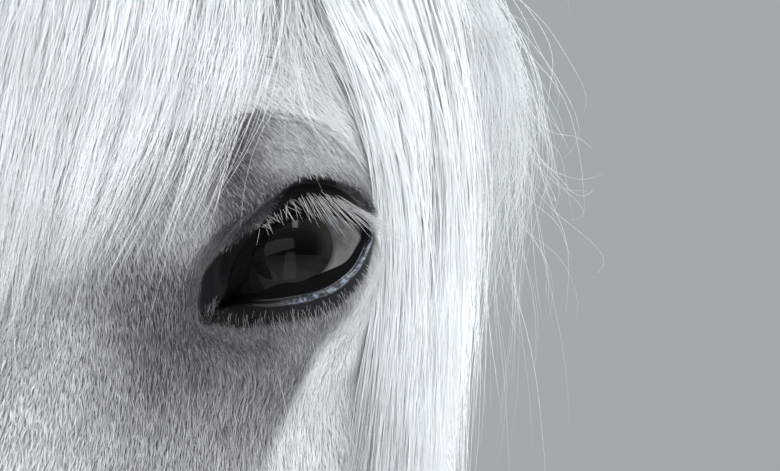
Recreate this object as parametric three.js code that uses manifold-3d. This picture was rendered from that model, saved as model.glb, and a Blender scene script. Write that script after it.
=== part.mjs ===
// A life-size standing horse with a long mane, forelock and tail. Millimetres, +Z up.
// The body faces -Y, its left side is +X, and the soles of its four hooves lie at Z = 0. The neck
// bends to the right, so the head faces to the right of -Y. Sizes are drawn on the straight horse.
import * as THREE from "three";
import { LoftGeometry } from "three/addons/geometries/LoftGeometry.js";
import { mergeVertices } from "three/addons/utils/BufferGeometryUtils.js";
import Module from "manifold-3d";

const wasm = await Module();
wasm.setup();

// ---- Driving sizes ----
const POLL = new THREE.Vector3(0, -1040, 1800); // top of the head, where it meets the neck
const FACE_SLOPE = 50; // degrees that the line of the face drops below the horizontal
const EYE = { along: 207, left: 83, under: 47, radius: 23.5 }; // centre of the eyeball, from the poll
const EYE_TURN = 36; // degrees that the eye looks out from straight ahead
const EYE_LIFT = 5; // degrees that the eye looks above the horizontal
const LID = { half: 21.5, rise: 12.5, tilt: 24, thick: 3.4 }; // slit between the lids, tilt in degrees
const EAR = { along: 20, left: 52, under: 10, height: 142, lean: 16, splay: 20, wall: 5 };
const NOSTRIL = { along: 548, left: 50, under: 40, long: 19, wide: 8, deep: 15 };
const MOUTH = { corner: 498, under: 84, gap: 1.6 };
const HAIR_DEPTH = { mane: 24, forelock: 15 }; // how far the long hair stands out from the neck or head
const KERF = 0.4; // gap where the body is parted
const SEAT_GAP = 0.35; // gap round the eyeballs and under the long hair
const SIDES = { trunk: 20, neck: 18, head: 24, leg: 10, hoof: 12, ear: 10, tail: 10, hair: 14 };
const LEG_CUT = 806; // height at which the legs are parted from the trunk
// The bend of the neck: degrees that the head turns right, how unevenly the bend grows towards the
// head, and the Y where it starts and ends. Below `high` it fades, so that the chest stays straight.
const BEND = { angle: 50, power: 1.8, from: -620, to: -955, low: 1150, high: 1450, chest: -800 };

const RAD = Math.PI / 180;
const faceAxis = new THREE.Vector3(0, -Math.cos(FACE_SLOPE * RAD), -Math.sin(FACE_SLOPE * RAD));
const faceOut = new THREE.Vector3(0, -Math.sin(FACE_SLOPE * RAD), Math.cos(FACE_SLOPE * RAD));

// A point of the head: along the face from the poll, out from its line, and to the left.
const headPoint = (along, out, left) =>
  POLL.clone().addScaledVector(faceAxis, along).addScaledVector(faceOut, out).setX(left);

// ---- The bend of the neck ----

function eased(value) {
  const t = Math.min(Math.max(value, 0), 1);
  return t * t * (3 - 2 * t);
}

// The line that the middle of the neck follows: its turn and place at equal steps of the bend.
const COURSE_STEPS = 60;
const course = [{ turn: 0, x: 0, y: BEND.from }];
for (let i = 1; i <= COURSE_STEPS; i++) {
  const last = course[i - 1];
  const step = (BEND.from - BEND.to) / COURSE_STEPS;
  const halfway = BEND.angle * RAD * ((i - 0.5) / COURSE_STEPS) ** BEND.power;
  course.push({
    turn: BEND.angle * RAD * (i / COURSE_STEPS) ** BEND.power,
    x: last.x - step * Math.sin(halfway),
    y: last.y - step * Math.cos(halfway),
  });
}

// Where a point of the straight horse lies on the bent one.
function bent({ x, y, z }) {
  const share = Math.min(Math.max((BEND.from - y) / (BEND.from - BEND.to), 0), 1) * COURSE_STEPS;
  const i = Math.min(Math.floor(share), COURSE_STEPS - 1);
  const [a, b, t] = [course[i], course[i + 1], share - i];
  const turn = a.turn + (b.turn - a.turn) * t;
  const beyond = Math.max(BEND.to - y, 0) + Math.min(BEND.from - y, 0);
  const [c, s] = [Math.cos(turn), Math.sin(turn)];
  const aside = a.x + (b.x - a.x) * t + x * c - beyond * s;
  const back = a.y + (b.y - a.y) * t - x * s - beyond * c;
  const high = eased((z - BEND.low) / (BEND.high - BEND.low));
  const ahead = eased((BEND.chest - y) / (BEND.chest - BEND.to));
  const hold = (1 - high) * (1 - ahead);
  return new THREE.Vector3(aside + (x - aside) * hold, back + (y - back) * hold, z);
}

// ---- Lofts ----

const superCurve = (value, power) => Math.sign(value) * Math.abs(value) ** (2 / power);

// One section: a rounded outline about `at`, in the plane of X and `up`, with its half width and
// how far it reaches above and below. The powers say how square each half is; 2 is an ellipse.
function outline({ at, up, half, above, below, powers }, sides, grow) {
  return Array.from({ length: sides }, (_, i) => {
    const turn = (i / sides) * 2 * Math.PI;
    const [c, s] = [Math.cos(turn), Math.sin(turn)];
    const power = powers[s >= 0 ? 0 : 1];
    const across = superCurve(c, power) * (half + grow);
    const rise = superCurve(s, power) * ((s >= 0 ? above : below) + grow);
    return at.clone().addScaledVector(up, rise).add(new THREE.Vector3(across, 0, 0));
  });
}

// Rows that round off a loft's end, like half a flattened ball that stands `depth` proud.
function domed(section, away, depth, rings) {
  return Array.from({ length: rings }, (_, i) => {
    const turn = ((i + 1) / (rings + 0.5)) * (Math.PI / 2);
    const shrink = Math.cos(turn);
    return {
      ...section,
      at: section.at.clone().addScaledVector(away, depth * Math.sin(turn)),
      half: section.half * shrink,
      above: section.above * shrink,
      below: section.below * shrink,
    };
  });
}

// ---- Forms: muscles, bones and hollows, as soft swellings of the surface ----
// at: where (X is mirrored), size: how far it reaches, push: how far it stands out.
const FORMS = [
  { name: "point_of_shoulder", at: [150, -700, 1040], size: [75, 75, 85], push: 20 },
  { name: "breast", at: [70, -735, 1080], size: [70, 60, 90], push: 16 },
  { name: "breast_groove", at: [0, -750, 1060], size: [26, 60, 110], push: -16 },
  { name: "shoulder_blade", at: [190, -545, 1260], size: [80, 70, 150], push: 12 },
  { name: "triceps", at: [225, -470, 1010], size: [90, 95, 90], push: 18 },
  { name: "shoulder_groove", at: [240, -360, 1080], size: [60, 38, 170], push: -11 },
  { name: "elbow", at: [190, -425, 880], size: [60, 45, 50], push: 10 },
  { name: "neck_root", at: [130, -660, 1290], size: [60, 60, 110], push: -12 },
  { name: "withers_hollow", at: [110, -400, 1440], size: [60, 110, 60], push: -12 },
  { name: "flank", at: [285, 265, 1180], size: [80, 75, 110], push: -22 },
  { name: "point_of_hip", at: [235, 330, 1405], size: [60, 55, 45], push: 20 },
  { name: "croup", at: [110, 470, 1500], size: [80, 120, 50], push: 8 },
  { name: "rump", at: [260, 590, 1290], size: [90, 120, 120], push: 12 },
  { name: "stifle", at: [240, 375, 985], size: [70, 55, 70], push: 14 },
  { name: "buttock", at: [120, 800, 1200], size: [90, 60, 120], push: 8 },
  { name: "gaskin", at: [225, 560, 850], size: [70, 90, 90], push: 10 },
  { name: "forearm", at: [205, -560, 760], size: [60, 70, 90], push: 8 },
];

const reach = new THREE.Vector3();

function formPush(point, forms) {
  return forms.reduce((sum, { at, size, push }) => {
    reach.set(Math.abs(point.x) - at[0], point.y - at[1], point.z - at[2]);
    const q = (reach.x / size[0]) ** 2 + (reach.y / size[1]) ** 2 + (reach.z / size[2]) ** 2;
    return sum + push * Math.exp(-1.4 * q);
  }, 0);
}

// A closed loft through the sections, with each point pushed out by the forms near it.
function loft(sections, { sides, grow = 0, dome = [0, 0], rings = 3, forms = FORMS }) {
  const first = sections[0];
  const last = sections[sections.length - 1];
  const away = (a, b) => a.at.clone().sub(b.at).normalize();
  const front = dome[0] ? domed(first, away(first, sections[1]), dome[0] + grow, rings) : [];
  const back = dome[1] ? domed(last, away(last, sections.at(-2)), dome[1] + grow, rings) : [];
  const all = [...front.reverse(), ...sections, ...back];
  const points = all.map((section) =>
    outline(section, sides, grow).map((point) => {
      const outward = point.clone().sub(section.at);
      if (outward.length() > 1e-6) outward.normalize();
      return point.addScaledVector(outward, formPush(point, forms));
    }),
  );
  return skinned(points);
}

// ---- Solids ----

// A closed skin through rings of points, whichever way round they run.
function skinned(rings) {
  const [ring, next] = rings;
  const middle = (points) =>
    points.reduce((sum, point) => sum.add(point), new THREE.Vector3()).divideScalar(points.length);
  const centre = middle(ring);
  const area = new THREE.Vector3();
  ring.forEach((point, i) => {
    const after = ring[(i + 1) % ring.length].clone().sub(centre);
    area.add(point.clone().sub(centre).cross(after));
  });
  const turnsRight = area.dot(middle(next).sub(centre)) > 0;
  const ordered = turnsRight ? rings : rings.map((points) => points.toReversed());
  return solid(new LoftGeometry(ordered, { capStart: true, capEnd: true }));
}

// A closed solid from a geometry, bent with the neck unless it is only a tool that cuts.
function solid(geometry, place = bent) {
  const plain = new THREE.BufferGeometry().copy(geometry);
  plain.deleteAttribute("normal");
  plain.deleteAttribute("uv");
  const merged = mergeVertices(plain, 1e-3);
  const corners = merged.attributes.position;
  for (let i = 0; i < corners.count; i++) {
    corners.setXYZ(i, ...place(new THREE.Vector3().fromBufferAttribute(corners, i)).toArray());
  }
  const triVerts = new Uint32Array(merged.index.array);
  const vertProperties = merged.attributes.position.array;
  const made = new wasm.Manifold(new wasm.Mesh({ numProp: 3, vertProperties, triVerts }));
  if (made.volume() > 0) return made;
  for (let i = 0; i < triVerts.length; i += 3) {
    [triVerts[i + 1], triVerts[i + 2]] = [triVerts[i + 2], triVerts[i + 1]];
  }
  return new wasm.Manifold(new wasm.Mesh({ numProp: 3, vertProperties, triVerts }));
}

function placed(geometry, position, turn = new THREE.Quaternion(), place = bent) {
  const matrix = new THREE.Matrix4().compose(position, turn, new THREE.Vector3(1, 1, 1));
  return solid(geometry.clone().applyMatrix4(matrix), place);
}

const asDrawn = (point) => point;
const cutter = (geometry, position, turn) => placed(geometry, position, turn, asDrawn);

const joined = (parts) => parts.reduce((whole, part) => whole.add(part));

// The two sides of a plane given on the straight horse, parted by the kerf: first the side that
// the normal points to, no farther than `reach` from the plane.
const HALF = 4000;
function parted(body, point, normal, reach = HALF) {
  const middle = bent(point);
  const direction = bent(point.clone().addScaledVector(normal, 0.1)).sub(middle).normalize();
  const turn = new THREE.Quaternion().setFromUnitVectors(new THREE.Vector3(0, 0, 1), direction);
  const block = new THREE.BoxGeometry(reach, reach, reach);
  const beyond = (gap) => cutter(block, middle.clone().addScaledVector(direction, reach / 2 + gap), turn);
  return [body.intersect(beyond(KERF / 2)), body.subtract(beyond(-KERF / 2))];
}

// The largest of the pieces that a cut leaves, without its crumbs.
const largest = (body) => body.decompose().sort((a, b) => b.volume() - a.volume())[0];

// The piece of a body that lies on the left (+X) or right (-X).
function half(body, sign) {
  const block = new THREE.BoxGeometry(HALF, HALF, HALF);
  return largest(body.intersect(cutter(block, new THREE.Vector3((sign * HALF) / 2, 0, 0))));
}

// ---- Trunk: upright sections from the breast to the buttocks ----
// y, top, widest, bottom, half width, power above, power below
const TRUNK = [
  [-720, 1215, 1080, 975, 126, 2.1, 2.1],
  [-685, 1290, 1070, 905, 176, 2.0, 2.2],
  [-620, 1405, 1065, 850, 208, 1.8, 2.3],
  [-530, 1482, 1070, 824, 222, 1.6, 2.3],
  [-440, 1520, 1080, 815, 232, 1.55, 2.3],
  [-350, 1506, 1095, 817, 250, 1.65, 2.2],
  [-220, 1462, 1105, 826, 276, 1.85, 2.15],
  [-60, 1428, 1110, 838, 293, 2.0, 2.15],
  [100, 1424, 1120, 853, 297, 2.1, 2.1],
  [230, 1446, 1140, 880, 288, 2.15, 2.1],
  [340, 1482, 1175, 925, 274, 2.1, 2.1],
  [440, 1506, 1205, 975, 266, 2.0, 2.1],
  [540, 1504, 1225, 1010, 258, 2.0, 2.1],
  [640, 1474, 1235, 1030, 242, 2.1, 2.1],
  [722, 1420, 1240, 1060, 208, 2.1, 2.1],
  [772, 1352, 1235, 1105, 150, 2.1, 2.0],
];

function trunk(grow) {
  const sections = TRUNK.map(([y, top, widest, bottom, half, above, below]) => ({
    at: new THREE.Vector3(0, y, widest),
    up: new THREE.Vector3(0, 0, 1),
    half,
    above: top - widest,
    below: widest - bottom,
    powers: [above, below],
  }));
  return loft(sections, { sides: SIDES.trunk, grow, dome: [34, 34], rings: 2 });
}

// ---- Neck: sections square to its run, from inside the chest to behind the poll ----
// crest y, crest z, throat y, throat z, half width, power above, power below
const NECK = [
  [-400, 1500, -560, 1010, 120, 2.0, 2.0],
  [-440, 1524, -690, 1095, 148, 1.7, 2.2],
  [-540, 1578, -752, 1205, 128, 1.7, 2.2],
  [-650, 1644, -800, 1318, 106, 1.7, 2.2],
  [-760, 1706, -848, 1404, 78, 1.75, 2.2],
  [-860, 1756, -897, 1476, 58, 1.8, 2.2],
  [-950, 1792, -950, 1536, 52, 1.9, 2.2],
  [-1020, 1802, -1012, 1578, 64, 2.0, 2.2],
  [-1072, 1768, -1056, 1600, 58, 2.0, 2.2],
];

function neck(grow, sides = SIDES.neck) {
  const sections = NECK.map(([cy, cz, ty, tz, half, above, below]) => {
    const crest = new THREE.Vector3(0, cy, cz);
    const throat = new THREE.Vector3(0, ty, tz);
    const depth = crest.distanceTo(throat);
    return {
      at: throat.clone().lerp(crest, 0.46),
      up: crest.clone().sub(throat).normalize(),
      half,
      above: depth * 0.54,
      below: depth * 0.46,
      powers: [above, below],
    };
  });
  return loft(sections, { sides, grow, dome: [10, 14], rings: 1 });
}

// ---- Head: sections square to the face, from behind the poll to the lips ----
// along, top, widest, bottom (out from the face line), half width, power above, power below
const HEAD = [
  [-22, -16, -66, -120, 50, 2.2, 2.1],
  [8, 0, -64, -150, 63, 2.3, 2.2],
  [55, 8, -60, -192, 76, 2.3, 2.2],
  [105, 12, -56, -240, 87, 2.4, 2.3],
  [150, 14, -54, -268, 94, 2.6, 2.4],
  [192, 13, -54, -272, 96, 2.7, 2.4],
  [230, 9, -58, -256, 90, 2.6, 2.3],
  [275, 4, -66, -226, 78, 2.4, 2.2],
  [325, 1, -68, -193, 66, 2.2, 2.1],
  [380, -1, -66, -164, 56, 2.1, 2.1],
  [435, -3, -62, -142, 51, 2.1, 2.1],
  [485, -5, -62, -132, 52, 2.1, 2.2],
  [527, -7, -62, -130, 55, 2.2, 2.3],
  [556, -14, -64, -125, 52, 2.2, 2.2],
  [576, -26, -66, -114, 45, 2.1, 2.1],
];

const headForm = (name, [along, out, left], size, push) => ({
  name,
  at: headPoint(along, out, left).toArray(),
  size,
  push,
});

const HEAD_FORMS = [
  headForm("orbit", [196, -34, 94], [26, 40, 36], 13),
  headForm("cheekbone", [140, -52, 98], [26, 44, 30], 9),
  headForm("temple_hollow", [128, -6, 66], [24, 28, 28], -9),
  headForm("cheek", [165, -165, 84], [40, 66, 66], 13),
  headForm("jaw_hollow", [180, -270, 0], [34, 100, 100], -26),
  headForm("face_crest", [292, -72, 74], [26, 62, 20], 7),
  headForm("nose_side", [330, -22, 52], [24, 60, 26], -6),
  headForm("bars_hollow", [400, -108, 52], [26, 60, 26], -5),
  headForm("nostril_rim", [540, -36, 50], [26, 32, 30], 10),
  headForm("upper_lip", [590, -56, 12], [40, 26, 26], 8),
  headForm("chin", [534, -130, 0], [34, 26, 28], 9),
  headForm("chin_groove", [480, -140, 0], [40, 24, 26], -7),
  headForm("brow", [172, 6, 74], [24, 30, 24], 7),
];

function skull(grow, sides = SIDES.head) {
  const sections = HEAD.map(([along, top, widest, bottom, half, above, below]) => ({
    at: headPoint(along, widest, 0),
    up: faceOut.clone(),
    half,
    above: top - widest,
    below: widest - bottom,
    powers: [above, below],
  }));
  return loft(sections, { sides, grow, dome: [14, 24], rings: 2, forms: HEAD_FORMS });
}

// ---- Legs: level sections from high in the trunk to the coronet ----
// height, front y, back y, inner x, outer x
const FORELEG = [
  [1190, -640, -440, 90, 190],
  [1110, -694, -432, 76, 222],
  [1020, -716, -424, 66, 240],
  [940, -702, -415, 66, 236],
  [880, -676, -410, 76, 226],
  [826, -652, -424, 90, 216],
  [760, -630, -450, 100, 209],
  [680, -611, -474, 108, 200],
  [600, -597, -487, 114, 192],
  [540, -590, -490, 115, 190],
  [492, -592, -484, 108, 195],
  [448, -598, -476, 105, 198],
  [408, -588, -484, 110, 192],
  [368, -574, -492, 120, 182],
  [300, -568, -499, 125, 177],
  [240, -572, -498, 124, 178],
  [205, -586, -488, 115, 187],
  [176, -596, -492, 116, 186],
  [146, -611, -522, 123, 179],
  [118, -636, -546, 116, 186],
  [96, -654, -556, 105, 197],
];

const HINDLEG = [
  [1390, 480, 690, 90, 165],
  [1310, 404, 752, 46, 236],
  [1220, 350, 788, 18, 266],
  [1110, 326, 802, 8, 276],
  [1010, 328, 790, 10, 268],
  [930, 350, 762, 34, 256],
  [866, 392, 738, 66, 242],
  [806, 438, 728, 90, 228],
  [740, 488, 730, 104, 215],
  [676, 540, 748, 112, 206],
  [626, 582, 778, 116, 201],
  [588, 612, 800, 114, 203],
  [548, 640, 800, 108, 208],
  [508, 658, 796, 110, 206],
  [464, 676, 786, 119, 196],
  [410, 694, 778, 129, 186],
  [320, 704, 776, 132, 183],
  [248, 702, 778, 130, 185],
  [206, 692, 790, 120, 194],
  [176, 682, 786, 121, 193],
  [146, 664, 758, 128, 186],
  [118, 640, 734, 122, 192],
  [96, 624, 724, 111, 203],
];

// Which way the front of a level section faces: forward, so the loft's own up is -Y.
const FORWARD = new THREE.Vector3(0, -1, 0);

function leg(rows, sign, grow) {
  const sections = rows.map(([z, front, back, inner, outer]) => {
    const [x, y] = [(inner + outer) / 2, (front + back) / 2];
    const half = (outer - inner) / 2;
    return {
      at: new THREE.Vector3(sign * x, y, z),
      up: FORWARD,
      half,
      above: y - front,
      below: back - y,
      powers: z > 560 ? [2, 2] : [2.2, 2.2],
    };
  });
  return loft(sections, { sides: SIDES.leg, grow, dome: [20, 0], rings: 1 });
}

// ---- Hooves ----
const HOOF = { height: 94, toe: 38, heel: 8, flare: 8, steps: 2 };

// A hoof wall from the coronet down to its flat sole, longest at the toe.
function hoof(rows, sign) {
  const [, front, back, inner, outer] = rows.at(-1);
  const [x, half] = [(sign * (inner + outer)) / 2, (outer - inner) / 2];
  const sections = Array.from({ length: HOOF.steps + 1 }, (_, i) => {
    const t = i / HOOF.steps;
    const [toe, heel] = [front - HOOF.toe * t, back + HOOF.heel * t];
    const y = heel - (heel - toe) * 0.45;
    return {
      at: new THREE.Vector3(x, y, (HOOF.height - KERF) * (1 - t)),
      up: FORWARD,
      half: half + 2 + HOOF.flare * t,
      above: y - toe,
      below: heel - y,
      powers: [2.1, 2.6],
    };
  });
  return loft(sections, { sides: SIDES.hoof, forms: [] });
}

// ---- Eyes ----
const eyeCentre = (sign) => headPoint(EYE.along, -EYE.under, sign * EYE.left);

// The turn that carries +Z to the way an eye looks, and +X along the slit to its outer corner.
function eyeTurn(sign) {
  const look = new THREE.Vector3(
    sign * Math.sin(EYE_TURN * RAD) * Math.cos(EYE_LIFT * RAD),
    -Math.cos(EYE_TURN * RAD) * Math.cos(EYE_LIFT * RAD),
    Math.sin(EYE_LIFT * RAD),
  );
  const outer = new THREE.Vector3(-look.y, look.x, 0).normalize().multiplyScalar(sign);
  outer.applyAxisAngle(look, sign * LID.tilt * RAD);
  const frame = new THREE.Matrix4().makeBasis(outer, look.clone().cross(outer), look);
  return new THREE.Quaternion().setFromRotationMatrix(frame);
}

const eyeball = (sign, grow) =>
  placed(new THREE.SphereGeometry(EYE.radius + grow, 12, 8), eyeCentre(sign), eyeTurn(sign));

// The space between the lids, out from the middle of the eye: a pointed oval.
function lidSlit(sign) {
  const shape = new THREE.Shape();
  const { half, rise } = LID;
  shape.moveTo(-half, 0);
  shape.quadraticCurveTo(0, -2 * rise, half, 0);
  shape.quadraticCurveTo(0, 2 * rise, -half, 0);
  const prism = new THREE.ExtrudeGeometry(shape, { depth: 60, bevelEnabled: false, curveSegments: 5 });
  return placed(prism, eyeCentre(sign), eyeTurn(sign));
}

// ---- Muzzle ----

// The turn that carries +X along the face, +Y out of it and +Z to the right.
const faceTurn = new THREE.Quaternion().setFromRotationMatrix(
  new THREE.Matrix4().makeBasis(faceAxis, faceOut, new THREE.Vector3(-1, 0, 0)),
);

// The turn that carries +X along the face, +Y to the left and +Z out of it.
const faceOnTurn = new THREE.Quaternion().setFromRotationMatrix(
  new THREE.Matrix4().makeBasis(faceAxis, new THREE.Vector3(1, 0, 0), faceOut),
);

function nostril(sign) {
  const { along, left, under, long, wide, deep } = NOSTRIL;
  const hollow = new THREE.SphereGeometry(1, 10, 6);
  hollow.scale(long, wide, deep).rotateZ(-35 * RAD);
  return placed(hollow, headPoint(along, -under, sign * left), faceTurn);
}

// The slit between the lips, from the corners of the mouth forward.
function mouth() {
  const long = 150;
  const slot = new THREE.BoxGeometry(long, MOUTH.gap, 200);
  return placed(slot, headPoint(MOUTH.corner + long / 2, -MOUTH.under, 0), faceTurn);
}

// ---- Ears: cupped leaves that open forwards ----
// share of the height, half width, half thickness
const EAR_ROWS = [
  [-0.12, 22, 17],
  [0.0, 24, 18],
  [0.14, 29, 19],
  [0.34, 32, 18],
  [0.56, 29, 15],
  [0.78, 19, 10],
  [0.93, 8, 6],
];

function earShell(sign, { shrink, forward, from }) {
  const lean = EAR.lean * RAD;
  const splay = EAR.splay * RAD;
  const tip = new THREE.Vector3(sign * Math.sin(splay), -Math.sin(lean), Math.cos(lean)).normalize();
  const face = new THREE.Vector3(sign * 0.35, -1, 0);
  face.addScaledVector(tip, -face.dot(tip)).normalize();
  const across = face.clone().cross(tip).normalize();
  const base = headPoint(EAR.along, -EAR.under, sign * EAR.left);
  const rings = EAR_ROWS.filter(([share]) => share >= from);
  const sections = rings.map(([share, wide, thick]) =>
    Array.from({ length: SIDES.ear }, (_, i) => {
      const turn = (i / SIDES.ear) * 2 * Math.PI;
      const [c, s] = [Math.cos(turn), Math.sin(turn)];
      return base
        .clone()
        .addScaledVector(tip, share * EAR.height)
        .addScaledVector(across, c * Math.max(wide - shrink, 1))
        .addScaledVector(face, s * Math.max(thick - shrink, 1) + forward);
    }),
  );
  return skinned(sections);
}

function ear(sign) {
  const outer = earShell(sign, { shrink: 0, forward: 0, from: -1 });
  const hollow = earShell(sign, { shrink: EAR.wall, forward: 8, from: 0.1 });
  return outer.subtract(hollow);
}

// ---- Long hair ----

// Level or sloping sections given by a centre, the way across and two half-sizes.
function hairLoft(rows, sides) {
  const sections = rows.map(({ at, across, through, wide, thick }) =>
    Array.from({ length: sides }, (_, i) => {
      const turn = (i / sides) * 2 * Math.PI;
      return at
        .clone()
        .addScaledVector(across, superCurve(Math.cos(turn), 2.4) * wide)
        .addScaledVector(through, superCurve(Math.sin(turn), 2.4) * thick);
    }),
  );
  return skinned(sections);
}

// Tail: y, z, half width, half depth, down the run of the dock and the hair
const TAIL = [
  [745, 1392, 34, 26],
  [792, 1384, 38, 30],
  [836, 1350, 44, 36],
  [862, 1290, 54, 44],
  [874, 1200, 66, 50],
  [880, 1080, 76, 54],
  [882, 940, 80, 56],
  [880, 800, 78, 54],
  [876, 660, 70, 48],
  [872, 530, 56, 40],
  [868, 420, 38, 28],
  [866, 345, 18, 14],
];

function tail() {
  const rows = TAIL;
  return hairLoft(
    rows.map(([y, z, wide, thick], i) => {
      const [a, b] = [rows[Math.max(i - 1, 0)], rows[Math.min(i + 1, rows.length - 1)]];
      const run = new THREE.Vector3(0, b[0] - a[0], b[1] - a[1]).normalize();
      const across = new THREE.Vector3(1, 0, 0);
      return { at: new THREE.Vector3(0, y, z), across, through: across.clone().cross(run), wide, thick };
    }),
    SIDES.tail,
  );
}

// A flat outline given by the points of its edge, as a block `depth` thick.
const slab = (edge, depth) =>
  new THREE.ExtrudeGeometry(new THREE.Shape(edge.map(([u, v]) => new THREE.Vector2(u, v))), {
    depth,
    bevelEnabled: false,
  });

// A strip of the given widths along a centre line, as an edge to go round.
function strip(line) {
  const side = (sign) =>
    line.map(([u, v, half], i) => {
      const [a, b] = [line[Math.max(i - 1, 0)], line[Math.min(i + 1, line.length - 1)]];
      const run = new THREE.Vector2(b[0] - a[0], b[1] - a[1]).normalize();
      return [u - sign * run.y * half, v + sign * run.x * half];
    });
  return [...side(1), ...side(-1).reverse()];
}

// The turn that carries +X to +Y, +Y to +Z and +Z to +X, for outlines drawn from the side.
const sideTurn = new THREE.Quaternion().setFromRotationMatrix(
  new THREE.Matrix4().makeBasis(
    new THREE.Vector3(0, 1, 0),
    new THREE.Vector3(0, 0, 1),
    new THREE.Vector3(1, 0, 0),
  ),
);

// Mane: y and z of the crest, and how far the hair hangs there on the side where it falls
const MANE = [
  [-380, 1500, 110],
  [-470, 1548, 235],
  [-560, 1594, 300],
  [-660, 1656, 335],
  [-760, 1712, 350],
  [-860, 1762, 335],
  [-940, 1790, 290],
  [-1004, 1800, 205],
];
const LOCK_DROP = 26; // how much lower every other lock of the hem hangs

// The room on one side of the crest, `gap` from its middle, down to a hem of locks.
function curtain(sign, share, gap) {
  const rows = MANE;
  const hem = rows.map(([y, z, hang], i) => [y + 12, z - hang * share - (i % 2) * LOCK_DROP * share]);
  const over = rows.map(([y, z]) => [y, z + 70]).reverse();
  const reach = 260;
  const from = sign > 0 ? gap : -reach - gap;
  return placed(slab([...hem, ...over], reach), new THREE.Vector3(from, 0, 0), sideTurn);
}

// The hair that falls on one side: a shell round the neck, cut to the hem.
const mane = (sign, share) => neck(HAIR_DEPTH.mane, SIDES.hair).intersect(curtain(sign, share, 0.6));

// Forelock: along the face, to the left, and half width, down the middle lock
const FORELOCK = [
  [-12, 0, 30],
  [40, 0, 46],
  [110, 2, 54],
  [190, 4, 48],
  [270, 4, 38],
  [340, 2, 24],
  [396, 0, 7],
];
// The lock that falls behind the left eye: y, z and half width
const SIDE_LOCK = [
  [-1066, 1782, 18],
  [-1094, 1726, 22],
  [-1098, 1668, 22],
  [-1090, 1610, 22],
  [-1082, 1550, 17],
  [-1078, 1488, 7],
];

function forelock() {
  const front = placed(slab(strip(FORELOCK), 160), headPoint(0, -70, 0), faceOnTurn);
  const side = placed(slab(strip(SIDE_LOCK), 150), new THREE.Vector3(20, 0, 0), sideTurn);
  return skull(HAIR_DEPTH.forelock, SIDES.hair).intersect(front.add(side));
}

// ---- Assembly ----

const LEFT = 1;
const RIGHT = -1;
const sides = { left: LEFT, right: RIGHT };

function flesh(grow) {
  const legs = [FORELEG, HINDLEG].flatMap((rows) => [leg(rows, LEFT, grow), leg(rows, RIGHT, grow)]);
  return joined([trunk(grow), neck(grow), skull(grow), ...legs]);
}

const COLOURS = {
  coat: { color: 0xe4e4e2, roughness: 0.8 },
  muzzle: { color: 0x8a8b8e, roughness: 0.7 },
  eye: { color: 0x15110f, roughness: 0.08 },
  hoof: { color: 0x5d5650, roughness: 0.5 },
  hair: { color: 0xececea, roughness: 0.75 },
};
const materials = Object.fromEntries(
  Object.entries(COLOURS).map(([name, look]) => [
    name,
    new THREE.MeshStandardMaterial({ ...look, metalness: 0 }),
  ]),
);

const horse = new THREE.Group();

function addNode(name, body, material) {
  const mesh = largest(body).getMesh();
  const geometry = new THREE.BufferGeometry();
  geometry.setAttribute("position", new THREE.BufferAttribute(mesh.vertProperties, 3));
  geometry.setIndex(new THREE.BufferAttribute(mesh.triVerts, 1));
  geometry.computeVertexNormals();
  const node = new THREE.Mesh(geometry, materials[material]);
  node.name = name;
  horse.add(node);
}

const whole = flesh(0);
const clearance = flesh(SEAT_GAP);
const down = new THREE.Vector3(0, 0, -1);

// The head parts from the neck behind the jaw, and the neck from the trunk before the shoulder.
const HEAD_REACH = 1000;
const [headAndMuzzle, restOfBody] = parted(
  whole,
  new THREE.Vector3(0, -962, 1640),
  new THREE.Vector3(0, -0.991, -0.135),
  HEAD_REACH,
);
const [neckPiece, bodyPiece] = parted(
  restOfBody,
  new THREE.Vector3(0, -600, 1340),
  new THREE.Vector3(0, -0.78, 0.63),
);
const [legPieces, trunkPiece] = parted(bodyPiece, new THREE.Vector3(0, 0, LEG_CUT), down);

const eyeRooms = joined(
  Object.values(sides).flatMap((sign) => [eyeball(sign, SEAT_GAP), lidSlit(sign)]),
);
const ears = joined(Object.values(sides).map((sign) => ear(sign)));
const lidBalls = joined(Object.values(sides).map((sign) => eyeball(sign, LID.thick)));
const holes = joined([eyeRooms, nostril(LEFT), nostril(RIGHT), mouth()]);
const shapedHead = headAndMuzzle.add(lidBalls).subtract(holes);
const [muzzlePiece, headPiece] = parted(shapedHead, headPoint(448, 0, 0), faceAxis, HEAD_REACH);

addNode("head", headPiece, "coat");
addNode("muzzle", muzzlePiece, "muzzle");
addNode("neck", neckPiece, "coat");
addNode("trunk", trunkPiece, "coat");

for (const [side, sign] of Object.entries(sides)) {
  addNode(`eye_${side}`, eyeball(sign, 0), "eye");
  addNode(`ear_${side}`, ear(sign).subtract(clearance), "coat");
}

// Each leg parts at the knee or hock, above the fetlock and at the coronet.
const LEG_PARTS = {
  foreleg: { rows: FORELEG, y: [-900, 0], joint: 508, cannon: 222, names: ["forearm", "cannon"] },
  hindleg: { rows: HINDLEG, y: [0, 1000], joint: 616, cannon: 222, names: ["gaskin", "cannon"] },
};
for (const [kind, { rows, y, joint, cannon, names }] of Object.entries(LEG_PARTS)) {
  const block = new THREE.BoxGeometry(HALF, y[1] - y[0], HALF);
  const pair = legPieces.intersect(cutter(block, new THREE.Vector3(0, (y[0] + y[1]) / 2, 0)));
  for (const [side, sign] of Object.entries(sides)) {
    const one = half(pair, sign);
    const [lower, upper] = parted(one, new THREE.Vector3(0, 0, joint), down);
    const [foot, shank] = parted(lower, new THREE.Vector3(0, 0, cannon), down);
    addNode(`${kind}_${side}_${names[0]}`, upper, "coat");
    addNode(`${kind}_${side}_${names[1]}`, shank, "coat");
    addNode(`${kind}_${side}_pastern`, foot, "coat");
    addNode(`${kind}_${side}_hoof`, hoof(rows, sign), "hoof");
  }
}

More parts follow.
